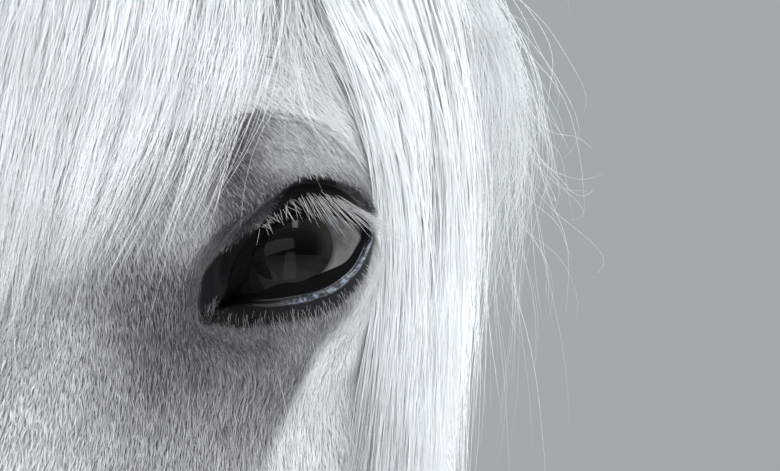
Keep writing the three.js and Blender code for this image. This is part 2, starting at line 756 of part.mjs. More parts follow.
const lidRooms = joined(Object.values(sides).map((sign) => eyeball(sign, LID.thick + SEAT_GAP)));
const crown = joined([clearance, ears, lidRooms]);
addNode("tail", tail().subtract(clearance), "hair");
addNode("forelock", forelock().subtract(crown), "hair");
addNode("mane_left", mane(LEFT, 1).subtract(crown), "hair");
addNode("mane_right", mane(RIGHT, 0.45).subtract(crown.add(curtain(LEFT, 1, -0.6))), "hair");

// The origin lies below the middle of the horse, at the level of its soles.
const bounds = new THREE.Box3().setFromObject(horse);
const middle = bounds.getCenter(new THREE.Vector3());
for (const node of horse.children) {
  node.position.set(-middle.x, -middle.y, -bounds.min.z);
}

export default horse;
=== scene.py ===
"""A life-size standing grey horse that looks to its right, with a white coat, dark skin round
its eyes and muzzle, and a long mane, forelock and tail.

Shapes are worked out as numpy arrays in millimetres on a straight horse: it faces -Y, its left
side is +X and its soles lie at Z = 0. `to_metres` bends the neck, which carries the head round
to the right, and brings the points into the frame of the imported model.
"""

import math

import bmesh
import bpy
import numpy as np
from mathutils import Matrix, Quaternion, Vector


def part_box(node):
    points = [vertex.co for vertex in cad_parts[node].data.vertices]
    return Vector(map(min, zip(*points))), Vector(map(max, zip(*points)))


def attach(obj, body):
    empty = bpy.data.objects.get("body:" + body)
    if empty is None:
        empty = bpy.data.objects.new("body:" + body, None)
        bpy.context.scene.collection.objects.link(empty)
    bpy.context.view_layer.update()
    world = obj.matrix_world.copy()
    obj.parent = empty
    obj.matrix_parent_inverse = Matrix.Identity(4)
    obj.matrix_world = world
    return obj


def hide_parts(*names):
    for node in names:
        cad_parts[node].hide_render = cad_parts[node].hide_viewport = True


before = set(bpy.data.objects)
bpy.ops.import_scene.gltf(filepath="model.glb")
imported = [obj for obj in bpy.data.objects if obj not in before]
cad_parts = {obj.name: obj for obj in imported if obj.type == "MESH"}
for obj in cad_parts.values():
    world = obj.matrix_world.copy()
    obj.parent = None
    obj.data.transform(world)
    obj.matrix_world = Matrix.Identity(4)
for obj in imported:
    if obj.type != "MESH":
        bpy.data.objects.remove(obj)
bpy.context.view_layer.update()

# ---- Driving sizes, in millimetres ----
POLL = np.array([0.0, -1040.0, 1800.0])
FACE_SLOPE = math.radians(50)
FACE_AXIS = np.array([0.0, -math.cos(FACE_SLOPE), -math.sin(FACE_SLOPE)])
FACE_OUT = np.array([0.0, -math.sin(FACE_SLOPE), math.cos(FACE_SLOPE)])
UP = np.array([0, 0, 1.0])
SIDES = ((1, "left"), (-1, "right"))
COAT_DEPTH = 2.4
SKIN_VOXEL = 13.8
# The head lies before HEAD_FROM and the lips before LIPS_FROM; the line between head and neck
# slants back below JAW_LEVEL
HEAD_FROM, LIPS_FROM = -985.0, -1050.0
JAW_SLANT, JAW_LEVEL, EAR_LEVEL = 0.35, 1650.0, 1790.0
# The nose lies between two places along the face, and the muzzle beyond them
NOSE_FROM, NOSE_TO = 330.0, 470.0


def head_point(along, out, left):
    """A point of the head: along the face from the poll, out from its line, and to the left."""
    along, out, left = np.broadcast_arrays(along, out, left)
    place = POLL + along[..., None] * FACE_AXIS + out[..., None] * FACE_OUT
    place[..., 0] = left
    return place


EYE_CENTRE = head_point(207.0, -47.0, 83.0)

# ---- The bend of the neck ----
BEND_TURN, BEND_POWER = math.radians(50), 1.8
BEND_FROM, BEND_TO, BEND_CHEST = -620.0, -955.0, -800.0
BEND_FADES_UNDER, BEND_WHOLE_OVER = 1150.0, 1450.0
COURSE_STEPS = 60
_share = (np.arange(COURSE_STEPS) + 0.5) / COURSE_STEPS
_run = (BEND_FROM - BEND_TO) / COURSE_STEPS * np.stack(
    [np.sin(BEND_TURN * _share**BEND_POWER), np.cos(BEND_TURN * _share**BEND_POWER)]
)
# The middle of the neck: its turn and its place, at equal steps along the bend
COURSE_TURN = BEND_TURN * (np.arange(COURSE_STEPS + 1) / COURSE_STEPS) ** BEND_POWER
COURSE_X, COURSE_Y = np.concatenate([[[0], [0]], -np.cumsum(_run, axis=1)], 1)
COURSE_Y = COURSE_Y + BEND_FROM


def ramp(low, high, x):
    """0 below `low`, 1 above `high`, and a smooth step between them."""
    t = np.clip((x - low) / (high - low), 0, 1)
    return t * t * (3 - 2 * t)


def bent(points):
    """Where points of the straight horse lie on the bent one: each is turned about Z with the
    middle of the neck beside it. The bend fades out low down, where the chest stays straight."""
    x, y, z = np.moveaxis(points, -1, 0)
    place = np.clip((BEND_FROM - y) / (BEND_FROM - BEND_TO), 0, 1) * COURSE_STEPS
    steps = np.arange(COURSE_STEPS + 1)
    turn = np.interp(place, steps, COURSE_TURN)
    beyond = np.maximum(BEND_TO - y, 0) + np.minimum(BEND_FROM - y, 0)
    c, s = np.cos(turn), np.sin(turn)
    aside = np.interp(place, steps, COURSE_X) + x * c - beyond * s
    back = np.interp(place, steps, COURSE_Y) - x * s - beyond * c
    hold = 1 - ramp(BEND_FADES_UNDER, BEND_WHOLE_OVER, z)
    hold = hold * (1 - ramp(0, 1, (BEND_CHEST - y) / (BEND_CHEST - BEND_TO)))
    return np.stack([aside + (x - aside) * hold, back + (y - back) * hold, z], -1)


_low, _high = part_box("eye_left")
SHIFT = np.array((_low + _high) / 2) * 1000 - bent(EYE_CENTRE)


def to_metres(points):
    """Points of the straight horse bent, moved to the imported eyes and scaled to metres."""
    return (bent(points) + SHIFT) / 1000


# ---- Curves and noise ----


def dense(rows, per=14):
    """Rows of numbers joined by cubic curves that never overshoot them: each slope is the
    harmonic mean of the steps on its two sides, or 0 at a turning point."""
    rows = np.array(rows, float)
    steps = np.diff(rows, axis=0)
    both = steps[:-1] * steps[1:]
    total = np.where(steps[:-1] + steps[1:] == 0, 1, steps[:-1] + steps[1:])
    slopes = np.concatenate([steps[:1], np.where(both > 0, 2 * both / total, 0), steps[-1:]])
    place = np.linspace(0, len(rows) - 1, (len(rows) - 1) * per + 1)
    i = np.minimum(place.astype(int), len(rows) - 2)
    t = (place - i)[:, None]
    return (
        rows[i] * (2 * t**3 - 3 * t**2 + 1)
        + rows[i + 1] * (3 * t**2 - 2 * t**3)
        + slopes[i] * (t**3 - 2 * t**2 + t)
        + slopes[i + 1] * (t**3 - t**2)
    )


def looked_up(table, x):
    """Every other column of a dense table where its first column is x."""
    if table[0, 0] > table[-1, 0]:
        table = table[::-1]
    return [np.interp(x, table[:, 0], table[:, k]) for k in range(1, table.shape[1])]


def unit(v):
    """Vectors divided by their lengths."""
    return v / np.maximum(np.linalg.norm(v, axis=-1, keepdims=True), 1e-9)


def full_turn(sides):
    """Angles at even steps once round."""
    return np.linspace(0, 2 * np.pi, sides, endpoint=False)


def soft_min(a, b, blend):
    """The lesser of two levels, rounded where they are within `blend` of each other."""
    h = np.maximum(blend - np.abs(a - b), 0) / blend
    return np.minimum(a, b) - h * h * blend / 4


def soft_max(a, b, blend):
    """The greater of two levels, rounded in the same way."""
    return -soft_min(-a, -b, blend)


def lattice_noise(points, cell, seed):
    """Smooth noise from -1 to 1: random numbers at the corners of cells, blended between them."""
    p = points / cell
    base = np.floor(p).astype(np.int64)
    f = p - base
    f = f * f * (3 - 2 * f)
    total = np.zeros(len(p))
    for corner in range(8):
        bit = np.array([corner >> k & 1 for k in range(3)])
        key = ((base + bit) * np.array([73856093, 19349663, 83492791])).sum(1) + seed * 9176413
        key = (key ^ (key >> 13)) * 1274126177
        value = ((key ^ (key >> 16)) & 0xFFFF) / 32767.5 - 1
        total += value * np.prod(np.where(bit, f, 1 - f), axis=1)
    return total


# ---- The body as a level: below 0 inside, 0 on the surface, in millimetres ----

# y, top, widest, bottom, half width, power above, power below
TRUNK = dense([
    [-720, 1215, 1080, 975, 126, 2.1, 2.1],
    [-685, 1290, 1070, 905, 176, 2.0, 2.2],
    [-620, 1405, 1065, 850, 208, 1.8, 2.3],
    [-530, 1482, 1070, 824, 222, 1.6, 2.3],
    [-440, 1520, 1080, 815, 232, 1.55, 2.3],
    [-350, 1506, 1095, 817, 250, 1.65, 2.2],
    [-220, 1462, 1105, 826, 276, 1.85, 2.15],
    [-60, 1428, 1110, 838, 293, 2.0, 2.15],
    [100, 1424, 1120, 853, 297, 2.1, 2.1],
    [230, 1446, 1140, 880, 288, 2.15, 2.1],
    [340, 1482, 1175, 925, 274, 2.1, 2.1],
    [440, 1506, 1205, 975, 266, 2.0, 2.1],
    [540, 1504, 1225, 1010, 258, 2.0, 2.1],
    [640, 1474, 1235, 1030, 242, 2.1, 2.1],
    [722, 1420, 1240, 1060, 208, 2.1, 2.1],
    [772, 1352, 1235, 1105, 150, 2.1, 2.0],
])

# crest y, crest z, throat y, throat z, half width, power above, power below; the widest place
# of a section lies NECK_MIDDLE of the way from throat to crest
NECK_MIDDLE = 0.46
NECK = dense([
    [-360, 1415, -560, 1010, 100, 2.0, 2.0],
    [-440, 1502, -690, 1095, 142, 1.7, 2.2],
    [-540, 1572, -752, 1205, 128, 1.7, 2.2],
    [-650, 1644, -800, 1318, 98, 1.7, 2.2],
    [-760, 1706, -848, 1404, 68, 1.75, 2.2],
    [-860, 1756, -897, 1476, 54, 1.8, 2.2],
    [-950, 1792, -950, 1536, 50, 1.9, 2.2],
    [-1020, 1802, -1012, 1578, 52, 2.0, 2.2],
    [-1072, 1768, -1056, 1600, 50, 2.0, 2.2],
])

# along the face, top, widest, bottom, half width, power above, power below
HEAD = dense([
    [-22, -16, -66, -120, 50, 2.2, 2.1],
    [8, 0, -64, -150, 63, 2.3, 2.2],
    [55, 8, -60, -192, 76, 2.3, 2.2],
    [105, 12, -56, -240, 87, 2.4, 2.3],
    [150, 14, -54, -268, 94, 2.6, 2.4],
    [192, 13, -54, -272, 96, 2.7, 2.4],
    [230, 9, -58, -256, 90, 2.6, 2.3],
    [275, 4, -66, -226, 78, 2.4, 2.2],
    [325, 1, -68, -193, 66, 2.2, 2.1],
    [380, -1, -66, -164, 56, 2.1, 2.1],
    [435, -3, -62, -142, 51, 2.1, 2.1],
    [485, -5, -62, -132, 52, 2.1, 2.2],
    [527, -7, -62, -130, 55, 2.2, 2.3],
    [552, -15, -65, -124, 51, 2.2, 2.2],
    [568, -27, -68, -113, 43, 2.1, 2.1],
])

# height, front y, back y, inner x, outer x
FORELEG = dense([
    [1190, -640, -440, 90, 190],
    [1110, -694, -432, 76, 222],
    [1020, -716, -424, 66, 240],
    [940, -702, -415, 66, 236],
    [880, -676, -410, 76, 226],
    [826, -652, -424, 90, 216],
    [760, -630, -450, 100, 209],
    [680, -611, -474, 108, 200],
    [600, -597, -487, 114, 192],
    [540, -590, -490, 115, 190],
    [492, -592, -484, 108, 195],
    [448, -598, -476, 105, 198],
    [408, -588, -484, 110, 192],
    [368, -574, -492, 120, 182],
    [300, -568, -499, 125, 177],
    [240, -572, -498, 124, 178],
    [205, -586, -488, 115, 187],
    [176, -596, -492, 116, 186],
    [146, -611, -522, 123, 179],
    [118, -636, -546, 116, 186],
    [96, -654, -556, 105, 197],
])
HINDLEG = dense([
    [1390, 480, 690, 90, 165],
    [1310, 404, 752, 46, 236],
    [1220, 350, 788, 18, 266],
    [1110, 326, 802, 8, 276],
    [1010, 328, 790, 10, 268],
    [930, 350, 762, 34, 256],
    [866, 392, 738, 66, 242],
    [806, 438, 728, 90, 228],
    [740, 488, 730, 104, 215],
    [676, 540, 748, 112, 206],
    [626, 582, 778, 116, 201],
    [588, 612, 800, 114, 203],
    [548, 640, 800, 108, 208],
    [508, 658, 796, 110, 206],
    [464, 676, 786, 119, 196],
    [410, 694, 778, 129, 186],
    [320, 704, 776, 132, 183],
    [248, 702, 778, 130, 185],
    [206, 692, 790, 120, 194],
    [176, 682, 786, 121, 193],
    [146, 664, 758, 128, 186],
    [118, 640, 734, 122, 192],
    [96, 624, 724, 111, 203],
])

# Muscles, bones and hollows: where (both sides alike), how far each reaches, how far it stands out
BODY_FORMS = np.array([
    [150, -700, 1040, 75, 75, 85, 20],
    [70, -735, 1080, 70, 60, 90, 16],
    [0, -750, 1060, 26, 60, 110, -16],
    [190, -545, 1260, 80, 70, 150, 12],
    [225, -470, 1010, 90, 95, 90, 18],
    [240, -360, 1080, 60, 38, 170, -11],
    [190, -425, 880, 60, 45, 50, 10],
    [130, -660, 1290, 60, 60, 110, -12],
    [110, -400, 1440, 60, 110, 60, -12],
    [285, 265, 1180, 80, 75, 110, -22],
    [235, 330, 1405, 60, 55, 45, 20],
    [110, 470, 1500, 80, 120, 50, 8],
    [260, 590, 1290, 90, 120, 120, 12],
    [240, 375, 985, 70, 55, 70, 14],
    [120, 800, 1200, 90, 60, 120, 8],
    [225, 560, 850, 70, 90, 90, 10],
    [205, -560, 760, 60, 70, 90, 8],
], float)
# The same for the head, with places given along the face, out from it and to the left
HEAD_FORMS = np.array([
    [196, -34, 94, 26, 40, 36, 13],
    [140, -52, 98, 26, 44, 30, 9],
    [128, -6, 66, 24, 28, 28, -9],
    [165, -165, 84, 40, 66, 66, 13],
    [180, -270, 0, 34, 100, 100, -26],
    [292, -72, 74, 26, 62, 20, 7],
    [330, -22, 52, 24, 60, 26, -6],
    [400, -108, 52, 26, 60, 26, -5],
    [540, -36, 50, 26, 32, 30, 10],
    [590, -56, 12, 40, 26, 26, 8],
    [534, -130, 0, 34, 26, 28, 9],
    [480, -140, 0, 40, 24, 26, -7],
    [172, 6, 74, 24, 30, 24, 7],
], float)
HEAD_FORMS[:, :3] = head_point(*HEAD_FORMS[:, :3].T)
FORMS = np.concatenate([BODY_FORMS, HEAD_FORMS])
NOSTRIL = {"at": (546, -40, 50), "size": (24, 10.5, 19), "turn": math.radians(-35)}
MOUTH_CORNER, MOUTH_UNDER, MOUTH_DEEP, MOUTH_WIDE = 498, -84, 7, 8.0


def section_level(u, v, half, above, below, powers, beyond, dome):
    """How far a point lies outside a rounded section, along the ray from its middle.
    With ratio = (|u/half|^n + |v/reach|^n)^(1/n), the surface lies at ratio 1, so the level is
    r - r/ratio. Past a loft's end the ratio grows as on a ball `dome` deep."""
    upper = v >= 0
    reach = np.where(upper, above, below)
    power = np.where(upper, powers[0], powers[1])
    ratio = ((np.abs(u) / half) ** power + (np.abs(v) / reach) ** power) ** (1 / power)
    ratio = np.sqrt(ratio**2 + (beyond / dome) ** 2)
    r = np.sqrt(u * u + v * v + beyond * beyond)
    return r - np.where(ratio > 1e-4, r / np.maximum(ratio, 1e-4), half)


def trunk_level(p):
    """The level of the trunk: a rounded section across the body at each y."""
    y = np.clip(p[:, 1], TRUNK[0, 0], TRUNK[-1, 0])
    top, widest, bottom, half, above, below = looked_up(TRUNK, y)
    return section_level(
        p[:, 0], p[:, 2] - widest, half, top - widest, widest - bottom, (above, below),
        np.abs(p[:, 1] - y), 36,
    )


def neck_station(p):
    """The place along the neck's table whose line from throat to crest passes through a point,
    found by halving: the side of the line on which the point lies says which half holds it."""
    low = np.zeros(len(p))
    high = np.full(len(p), len(NECK) - 1.0)
    rows = np.arange(len(NECK))
    for _ in range(14):
        mid = (low + high) / 2
        cy, cz, ty, tz = (np.interp(mid, rows, NECK[:, k]) for k in range(4))
        ahead = (cy - ty) * (p[:, 2] - tz) - (cz - tz) * (p[:, 1] - ty) > 0
        low, high = np.where(ahead, mid, low), np.where(ahead, high, mid)
    return [np.interp((low + high) / 2, rows, NECK[:, k]) for k in range(7)]


def neck_level(p):
    """The level of the neck: a rounded section along each line from throat to crest."""
    cy, cz, ty, tz, half, above, below = neck_station(p)
    depth = np.hypot(cy - ty, cz - tz)
    up_y, up_z = (cy - ty) / depth, (cz - tz) / depth
    from_y = p[:, 1] - ty - NECK_MIDDLE * (cy - ty)
    from_z = p[:, 2] - tz - NECK_MIDDLE * (cz - tz)
    rise = from_y * up_y + from_z * up_z
    aside = np.abs(from_z * up_y - from_y * up_z)
    beyond = np.where(aside > 1, aside, 0)
    return section_level(
        p[:, 0], rise, half, depth * (1 - NECK_MIDDLE), depth * NECK_MIDDLE, (above, below),
        beyond, 14,
    )


def head_coordinates(p):
    """How far points lie along the face, out from its line and to the left."""
    from_poll = p - POLL
    return from_poll @ FACE_AXIS, from_poll @ FACE_OUT, p[:, 0]


def head_level(p):
    """The level of the head: a rounded section across the face at each place along it."""
    along, out, left = head_coordinates(p)
    s = np.clip(along, HEAD[0, 0], HEAD[-1, 0])
    top, widest, bottom, half, above, below = looked_up(HEAD, s)
    return section_level(
        left, out - widest, half, top - widest, widest - bottom, (above, below),
        np.abs(along - s), 30,
    )


def leg_level(p, rows):
    """The level of a pair of legs: a rounded level section at each height."""
    z = np.clip(p[:, 2], rows[-1, 0], rows[0, 0])
    front, back, inner, outer = looked_up(rows, z)
    power = 2.2 - 0.2 * ramp(500, 620, z)
    reach = (back - front) / 2
    return section_level(
        np.abs(p[:, 0]) - (inner + outer) / 2, (front + back) / 2 - p[:, 1], (outer - inner) / 2,
        reach, reach, (power, power), np.abs(p[:, 2] - z), np.where(p[:, 2] > z, 20, 8),
    )


def on_left(p):
    """Points with those of the right side mirrored to the left."""
    return np.stack([np.abs(p[..., 0]), p[..., 1], p[..., 2]], -1)


def form_push(p):
    """The sum of each form's push, which falls off from its middle as a bell over its reach."""
    total = np.zeros(len(p))
    left = on_left(p)
    for form in FORMS:
        total += form[6] * np.exp(-1.4 * (((left - form[:3]) / form[3:6]) ** 2).sum(1))
    return total


def face_details(p):
    """Nostril hollows and the groove between the lips, as what they add to the level."""
    along, out, left = head_coordinates(p)
    (a, o, x), (long, wide, deep), turn = NOSTRIL["at"], NOSTRIL["size"], NOSTRIL["turn"]
    da, do = along - a, out - o
    across = (da * math.cos(turn) + do * math.sin(turn)) / long
    rise = (do * math.cos(turn) - da * math.sin(turn)) / wide
    hollow = (1 - np.sqrt(across**2 + rise**2 + ((np.abs(left) - x) / deep) ** 2)) * wide
    groove = MOUTH_DEEP * np.exp(-(((out - MOUTH_UNDER) / MOUTH_WIDE) ** 2))
    groove = groove * ramp(-6, 12, along - MOUTH_CORNER)
    return hollow, groove


def in_hollows(p):
    """1 within a nostril or deep in the line between the lips, 0 on the open muzzle."""
    hollow, groove = face_details(p)
    return np.maximum(ramp(-5, -0.5, hollow), 0.9 * ramp(3, 7, groove)) * (p[:, 1] < LIPS_FROM)


def body_level(p, depth=0.0):
    """The whole horse but its ears: the lofts run together softly, then the forms push."""
    legs = np.minimum(leg_level(p, FORELEG), leg_level(p, HINDLEG))
    level = soft_min(trunk_level(p), neck_level(p), 70)
    level = soft_min(level, legs, 36)
    level = soft_min(level, head_level(p), 22) - form_push(p)
    hollow, groove = face_details(p)
    return soft_max(level + groove, hollow, 6) + depth


def gradient(level, p, step=0.6):
    """The slope of a level, from its values a step either way along each axis."""
    slopes = [level(p + step * axis) - level(p - step * axis) for axis in np.eye(3)]
    return np.stack(slopes, 1) / (2 * step)


def settled(level, p, rounds):
    """Points moved onto the surface where the level is 0, by Newton's steps along its slope."""
    for _ in range(rounds):
        slope = gradient(level, p)
        step = level(p) / np.maximum((slope**2).sum(1), 0.2)
        p = p - np.clip(step, -12, 12)[:, None] * slope
    return p


# ---- Meshes ----


def placed(name, data):
    """A new object in the scene."""
    thing = bpy.data.objects.new(name, data)
    bpy.context.scene.collection.objects.link(thing)
    return thing


def new_object(name, vertices, faces, place=to_metres):
    """A mesh object from points in millimetres; faces is an array or a list of arrays."""
    mesh = bpy.data.meshes.new(name)
    groups = [faces] if isinstance(faces, np.ndarray) else faces
    sizes = np.concatenate([np.full(len(g), g.shape[1], np.int32) for g in groups])
    corners = np.concatenate([g.ravel() for g in groups]).astype(np.int32)
    mesh.vertices.add(len(vertices))
    mesh.vertices.foreach_set("co", place(vertices).astype(np.float32).ravel())
    mesh.loops.add(len(corners))
    mesh.loops.foreach_set("vertex_index", corners)
    mesh.polygons.add(len(sizes))
    starts = np.concatenate([[0], np.cumsum(sizes)[:-1]]).astype(np.int32)
    mesh.polygons.foreach_set("loop_start", starts)
    mesh.update(calc_edges=True)
    mesh.polygons.foreach_set("use_smooth", np.ones(len(sizes), bool))
    mesh.update()
    return placed(name, mesh)


def tube_faces(rings, sides):
    """Quads between rings of points that each close on themselves."""
    i = np.arange(rings - 1)[:, None] * sides
    j = np.arange(sides)[None, :]
    k = (j + 1) % sides
    return np.stack([i + j, i + k, i + sides + k, i + sides + j], -1).reshape(-1, 4)


def closed_tube(rings):
    """Rings of points, shape (rings, sides, 3), with a fan to the middle of each end ring."""
    count, sides, _ = rings.shape
    ends = np.stack([rings[0].mean(0), rings[-1].mean(0)])
    points = np.concatenate([rings.reshape(-1, 3), ends])
    j = np.arange(sides)
    k = (j + 1) % sides
    last = (count - 1) * sides
    fans = [
        np.stack([k, j, np.full(sides, count * sides)], 1),
        np.stack([last + j, last + k, np.full(sides, count * sides + 1)], 1),
    ]
    return points, [tube_faces(count, sides), np.concatenate(fans)]


def straight(points):
    """Metres for a mesh that is still being shaped on the straight horse."""
    return points / 1000


def read(items, field, kind=np.float32):
    """One field of all a mesh's items, such as its points, as one flat array."""
    wide = np.size(getattr(items[0], field))
    values = np.empty(len(items) * wide, kind)
    items.foreach_get(field, values)
    return values


def straight_points(mesh):
    """The points of a mesh on the straight horse, in millimetres."""
    return read(mesh.vertices, "co").reshape(-1, 3).astype(float) * 1000


def move_points(mesh, metres):
    """Puts the points of a mesh at new places."""
    mesh.vertices.foreach_set("co", metres.astype(np.float32).ravel())
    mesh.update()


def relaxed(points, edges, rounds):
    """Each point drawn half way to the mean of its neighbours, `rounds` times."""
    for _ in range(rounds):
        total = np.zeros_like(points)
        count = np.zeros(len(points))
        for a, b in ((0, 1), (1, 0)):
            np.add.at(total, edges[:, a], points[edges[:, b]])
            np.add.at(count, edges[:, a], 1)
        points = 0.5 * points + 0.5 * total / np.maximum(count, 1)[:, None]
    return points


# ---- Skin ----


def rough_lofts():
    """Plain elliptical tubes near each part of the body, to give the skin its first mesh. A
    ring is its middle, plus half its width times the cosine and its reach times the sine."""
    sides = 36
    turn = full_turn(sides)
    c, s = np.cos(turn), np.sin(turn)

    def ring_rows(middle, up, half, above, below):
        """The rings of one part."""
        reach = np.where(s >= 0, above[:, None], below[:, None]) * s
        across = (half[:, None] * c)[..., None] * [1.0, 0, 0]
        return middle[:, None] + across + reach[..., None] * up[..., None, :]

    t = TRUNK[::4]
    middle = np.stack([0 * t[:, 0], t[:, 0], t[:, 2]], 1)
    tubes = [ring_rows(middle, UP, t[:, 4], t[:, 1] - t[:, 2], t[:, 2] - t[:, 3])]
    t = NECK[::4]
    crest = np.stack([0 * t[:, 0], t[:, 0], t[:, 1]], 1)
    throat = np.stack([0 * t[:, 0], t[:, 2], t[:, 3]], 1)
    depth = np.linalg.norm(crest - throat, axis=1)
    middle = throat + NECK_MIDDLE * (crest - throat)
    above, below = depth * (1 - NECK_MIDDLE), depth * NECK_MIDDLE
    tubes.append(ring_rows(middle, unit(crest - throat), t[:, 4], above, below))
    t = HEAD[::4]
    along = np.append(t[:-1, 0], t[-1, 0] + 36)
    middle = head_point(along, t[:, 2], 0.0)
    tubes.append(ring_rows(middle, FACE_OUT, t[:, 4], t[:, 1] - t[:, 2], t[:, 2] - t[:, 3]))
    for rows in (FORELEG[::4], HINDLEG[::4]):
        reach = (rows[:, 2] - rows[:, 1]) / 2
        for side in (1, -1):
            x = side * (rows[:, 3] + rows[:, 4]) / 2
            middle = np.stack([x, (rows[:, 1] + rows[:, 2]) / 2, rows[:, 0]], 1)
            half = (rows[:, 4] - rows[:, 3]) / 2
            tubes.append(ring_rows(middle, np.array([0.0, -1.0, 0.0]), half, reach, reach))
    return tubes


def skin_level(p):
    """The level of the skin, which lies inside the coat by its depth."""
    return body_level(p, COAT_DEPTH)


def in_face(p):
    """Whether points lie on the face, where the skin is cut finer."""
    return (head_coordinates(p)[0] > 60) & (p[:, 1] < HEAD_FROM)


def in_muzzle(p):
    """Whether points lie on the muzzle, where the skin is finest."""
    return head_coordinates(p)[0] > NOSE_TO


def split_faces(mesh, chosen):
    """Cuts each chosen face of a mesh in four, with its neighbours joined up to match."""
    build = bmesh.new()
    build.from_mesh(mesh)
    middles = np.array([f.calc_center_median() for f in build.faces])
    picked = chosen(middles * 1000)
    edges = {e for f, take in zip(build.faces, picked) if take for e in f.edges}
    bmesh.ops.subdivide_edges(build, edges=list(edges), cuts=1, use_grid_fill=True)
    build.to_mesh(mesh)
    build.free()


def settle_mesh(mesh, rounds, smoothing):
    """Evens out a mesh and then moves its points onto the level of the skin."""
    ends = read(mesh.edges, "vertices", np.int32).reshape(-1, 2)
    points = relaxed(straight_points(mesh), ends, smoothing)
    move_points(mesh, straight(settled(skin_level, points, rounds)))


def make_skin():
    """One closed skin: the rough tubes are run together on a grid of cubes, and the mesh is
    then drawn onto the level's surface, finer over the face and muzzle."""
    meshes = [new_object("rough", *closed_tube(rings), straight) for rings in rough_lofts()]
    with bpy.context.temp_override(active_object=meshes[0], selected_editable_objects=meshes):
        bpy.ops.object.join()
    rough = meshes[0]
    remesh = rough.modifiers.new("cubes", "REMESH")
    remesh.mode = "VOXEL"
    remesh.voxel_size = SKIN_VOXEL / 1000
    shown = rough.evaluated_get(bpy.context.evaluated_depsgraph_get())
    mesh = bpy.data.meshes.new_from_object(shown)
    bpy.data.objects.remove(rough)
    settle_mesh(mesh, 4, 6)
    settle_mesh(mesh, 2, 2)
    split_faces(mesh, in_face)
    split_faces(mesh, in_muzzle)
    settle_mesh(mesh, 3, 1)
    mesh.name = "skin"
    mesh.polygons.foreach_set("use_smooth", np.ones(len(mesh.polygons), bool))
    return placed("skin", mesh)


# ---- The eyes' own frame: u outwards and back, v up, w the way the eye looks ----
LOOK, LIFT = math.radians(35), math.radians(5)
EYE_W = np.array(
    [math.sin(LOOK) * math.cos(LIFT), -math.cos(LOOK) * math.cos(LIFT), math.sin(LIFT)]
)
EYE_U = np.array([math.cos(LOOK), math.sin(LOOK), 0.0])
EYE_V = np.cross(EYE_W, EYE_U)
EYE_AXES = np.stack([EYE_U, EYE_V, EYE_W])
BALL = 25.0
BALL_MIDDLE = EYE_CENTRE + 0.8 * EYE_U
LID_THICK = 3.2
DOME_REACH = 25.0
PATCH_REACH, PATCH_TURNED_AWAY = 60.0, 20.0
SIDES_ROUND = 240

# Inner edges of the lids as (u, v), from the inner corner round the top and back underneath
UPPER_EDGE = [
    [-20.6, -13.6], [-18.8, -8.7], [-16.9, -2.2], [-12.7, 5.0], [-5.7, 11.0], [1.2, 13.7],
    [7.7, 13.7], [15.2, 11.6], [20.6, 9.2], [23.2, 6.6],
]
LOWER_EDGE = [
    [23.2, 6.6], [19.8, 2.6], [14.9, -3.3], [9.1, -6.9], [3.8, -9.4], [-2.4, -11.0],
    [-9.0, -12.0], [-15.0, -13.0], [-20.6, -13.6],
]


def eye_place(u, v, w):
    """Points from their places in the eye's own frame."""
    u, v, w = np.broadcast_arrays(u, v, w)
    return BALL_MIDDLE + u[..., None] * EYE_U + v[..., None] * EYE_V + w[..., None] * EYE_W


def eye_coordinates(p):
    """u, v and w of points, those of the right side mirrored to the left first."""
    return np.moveaxis((on_left(p) - BALL_MIDDLE) @ EYE_AXES.T, -1, 0)


def edge_reach(turn):
    """How far round the ball the lids' inner edge lies from the look, by the turn about it."""
    edge = np.concatenate([dense(UPPER_EDGE)[:-1], dense(LOWER_EDGE)[:-1]])
    angle = np.arctan2(edge[:, 1], edge[:, 0])
    arc = BALL * np.arcsin(np.minimum(np.hypot(edge[:, 0], edge[:, 1]) / BALL, 0.995))
    order = np.argsort(angle)
    return np.interp(turn, angle[order], arc[order], period=2 * np.pi)


TURNS = np.linspace(-np.pi, np.pi, SIDES_ROUND, endpoint=False)
EDGE = edge_reach(TURNS)


def near_turn(turn, towards, spread):
    """1 at one turn about the look, falling to 0 on both sides."""
    return np.exp(-(((turn - towards + np.pi) % (2 * np.pi) - np.pi) ** 2) / (2 * spread**2))


def rolled_mean(x, half):
    """The mean of each value and `half` neighbours on both sides, round a ring."""
    return sum(np.roll(x, k) for k in range(-half, half + 1)) / (2 * half + 1)


# An edge that runs aslant from the middle needs a longer step outwards for the same width
_slope = (np.roll(EDGE, -1) - np.roll(EDGE, 1)) / (TURNS[1] - TURNS[0]) / 2
ASLANT = rolled_mean(np.clip(np.sqrt(1 + (_slope / EDGE) ** 2), 1, 1.8), 4)
# The rim is wide along the lower lid, narrow in the corners and over the front of the upper lid
UNDERSIDE = ramp(0.1, 0.5, -np.sin(TURNS - 0.42))
_narrow = (
    (1 - 0.55 * near_turn(TURNS, -2.56, 0.16))
    * (1 - 0.58 * near_turn(TURNS, 2.45, 0.5))
    * (1 - 0.6 * near_turn(TURNS, 0.05, 0.42))
)
RIM = rolled_mean((3.2 + 0.6 * UNDERSIDE) * ASLANT * _narrow, 3)


def on_lid(arc, thick):
    """A point `thick` off the ball, `arc` round it from the look: its reach and its height."""
    lean = arc / BALL
    r = BALL + thick
    return r * np.sin(lean), r * np.cos(lean)


LASH_REACH, LASH_HEIGHT = on_lid(EDGE + RIM, LID_THICK)


def around_eye(u, v):
    """The turn of a point about the look, and how far it lies outside the lash line."""
    turn = np.arctan2(v, u)
    return turn, np.hypot(u, v) - np.interp(turn, TURNS, LASH_REACH, period=2 * np.pi)


def patch_edge(turn):
    """How far the eye's own skin reaches from the look: less behind the eye, where the head
    turns away."""
    return PATCH_REACH - PATCH_TURNED_AWAY * near_turn(turn, 0, 0.7)


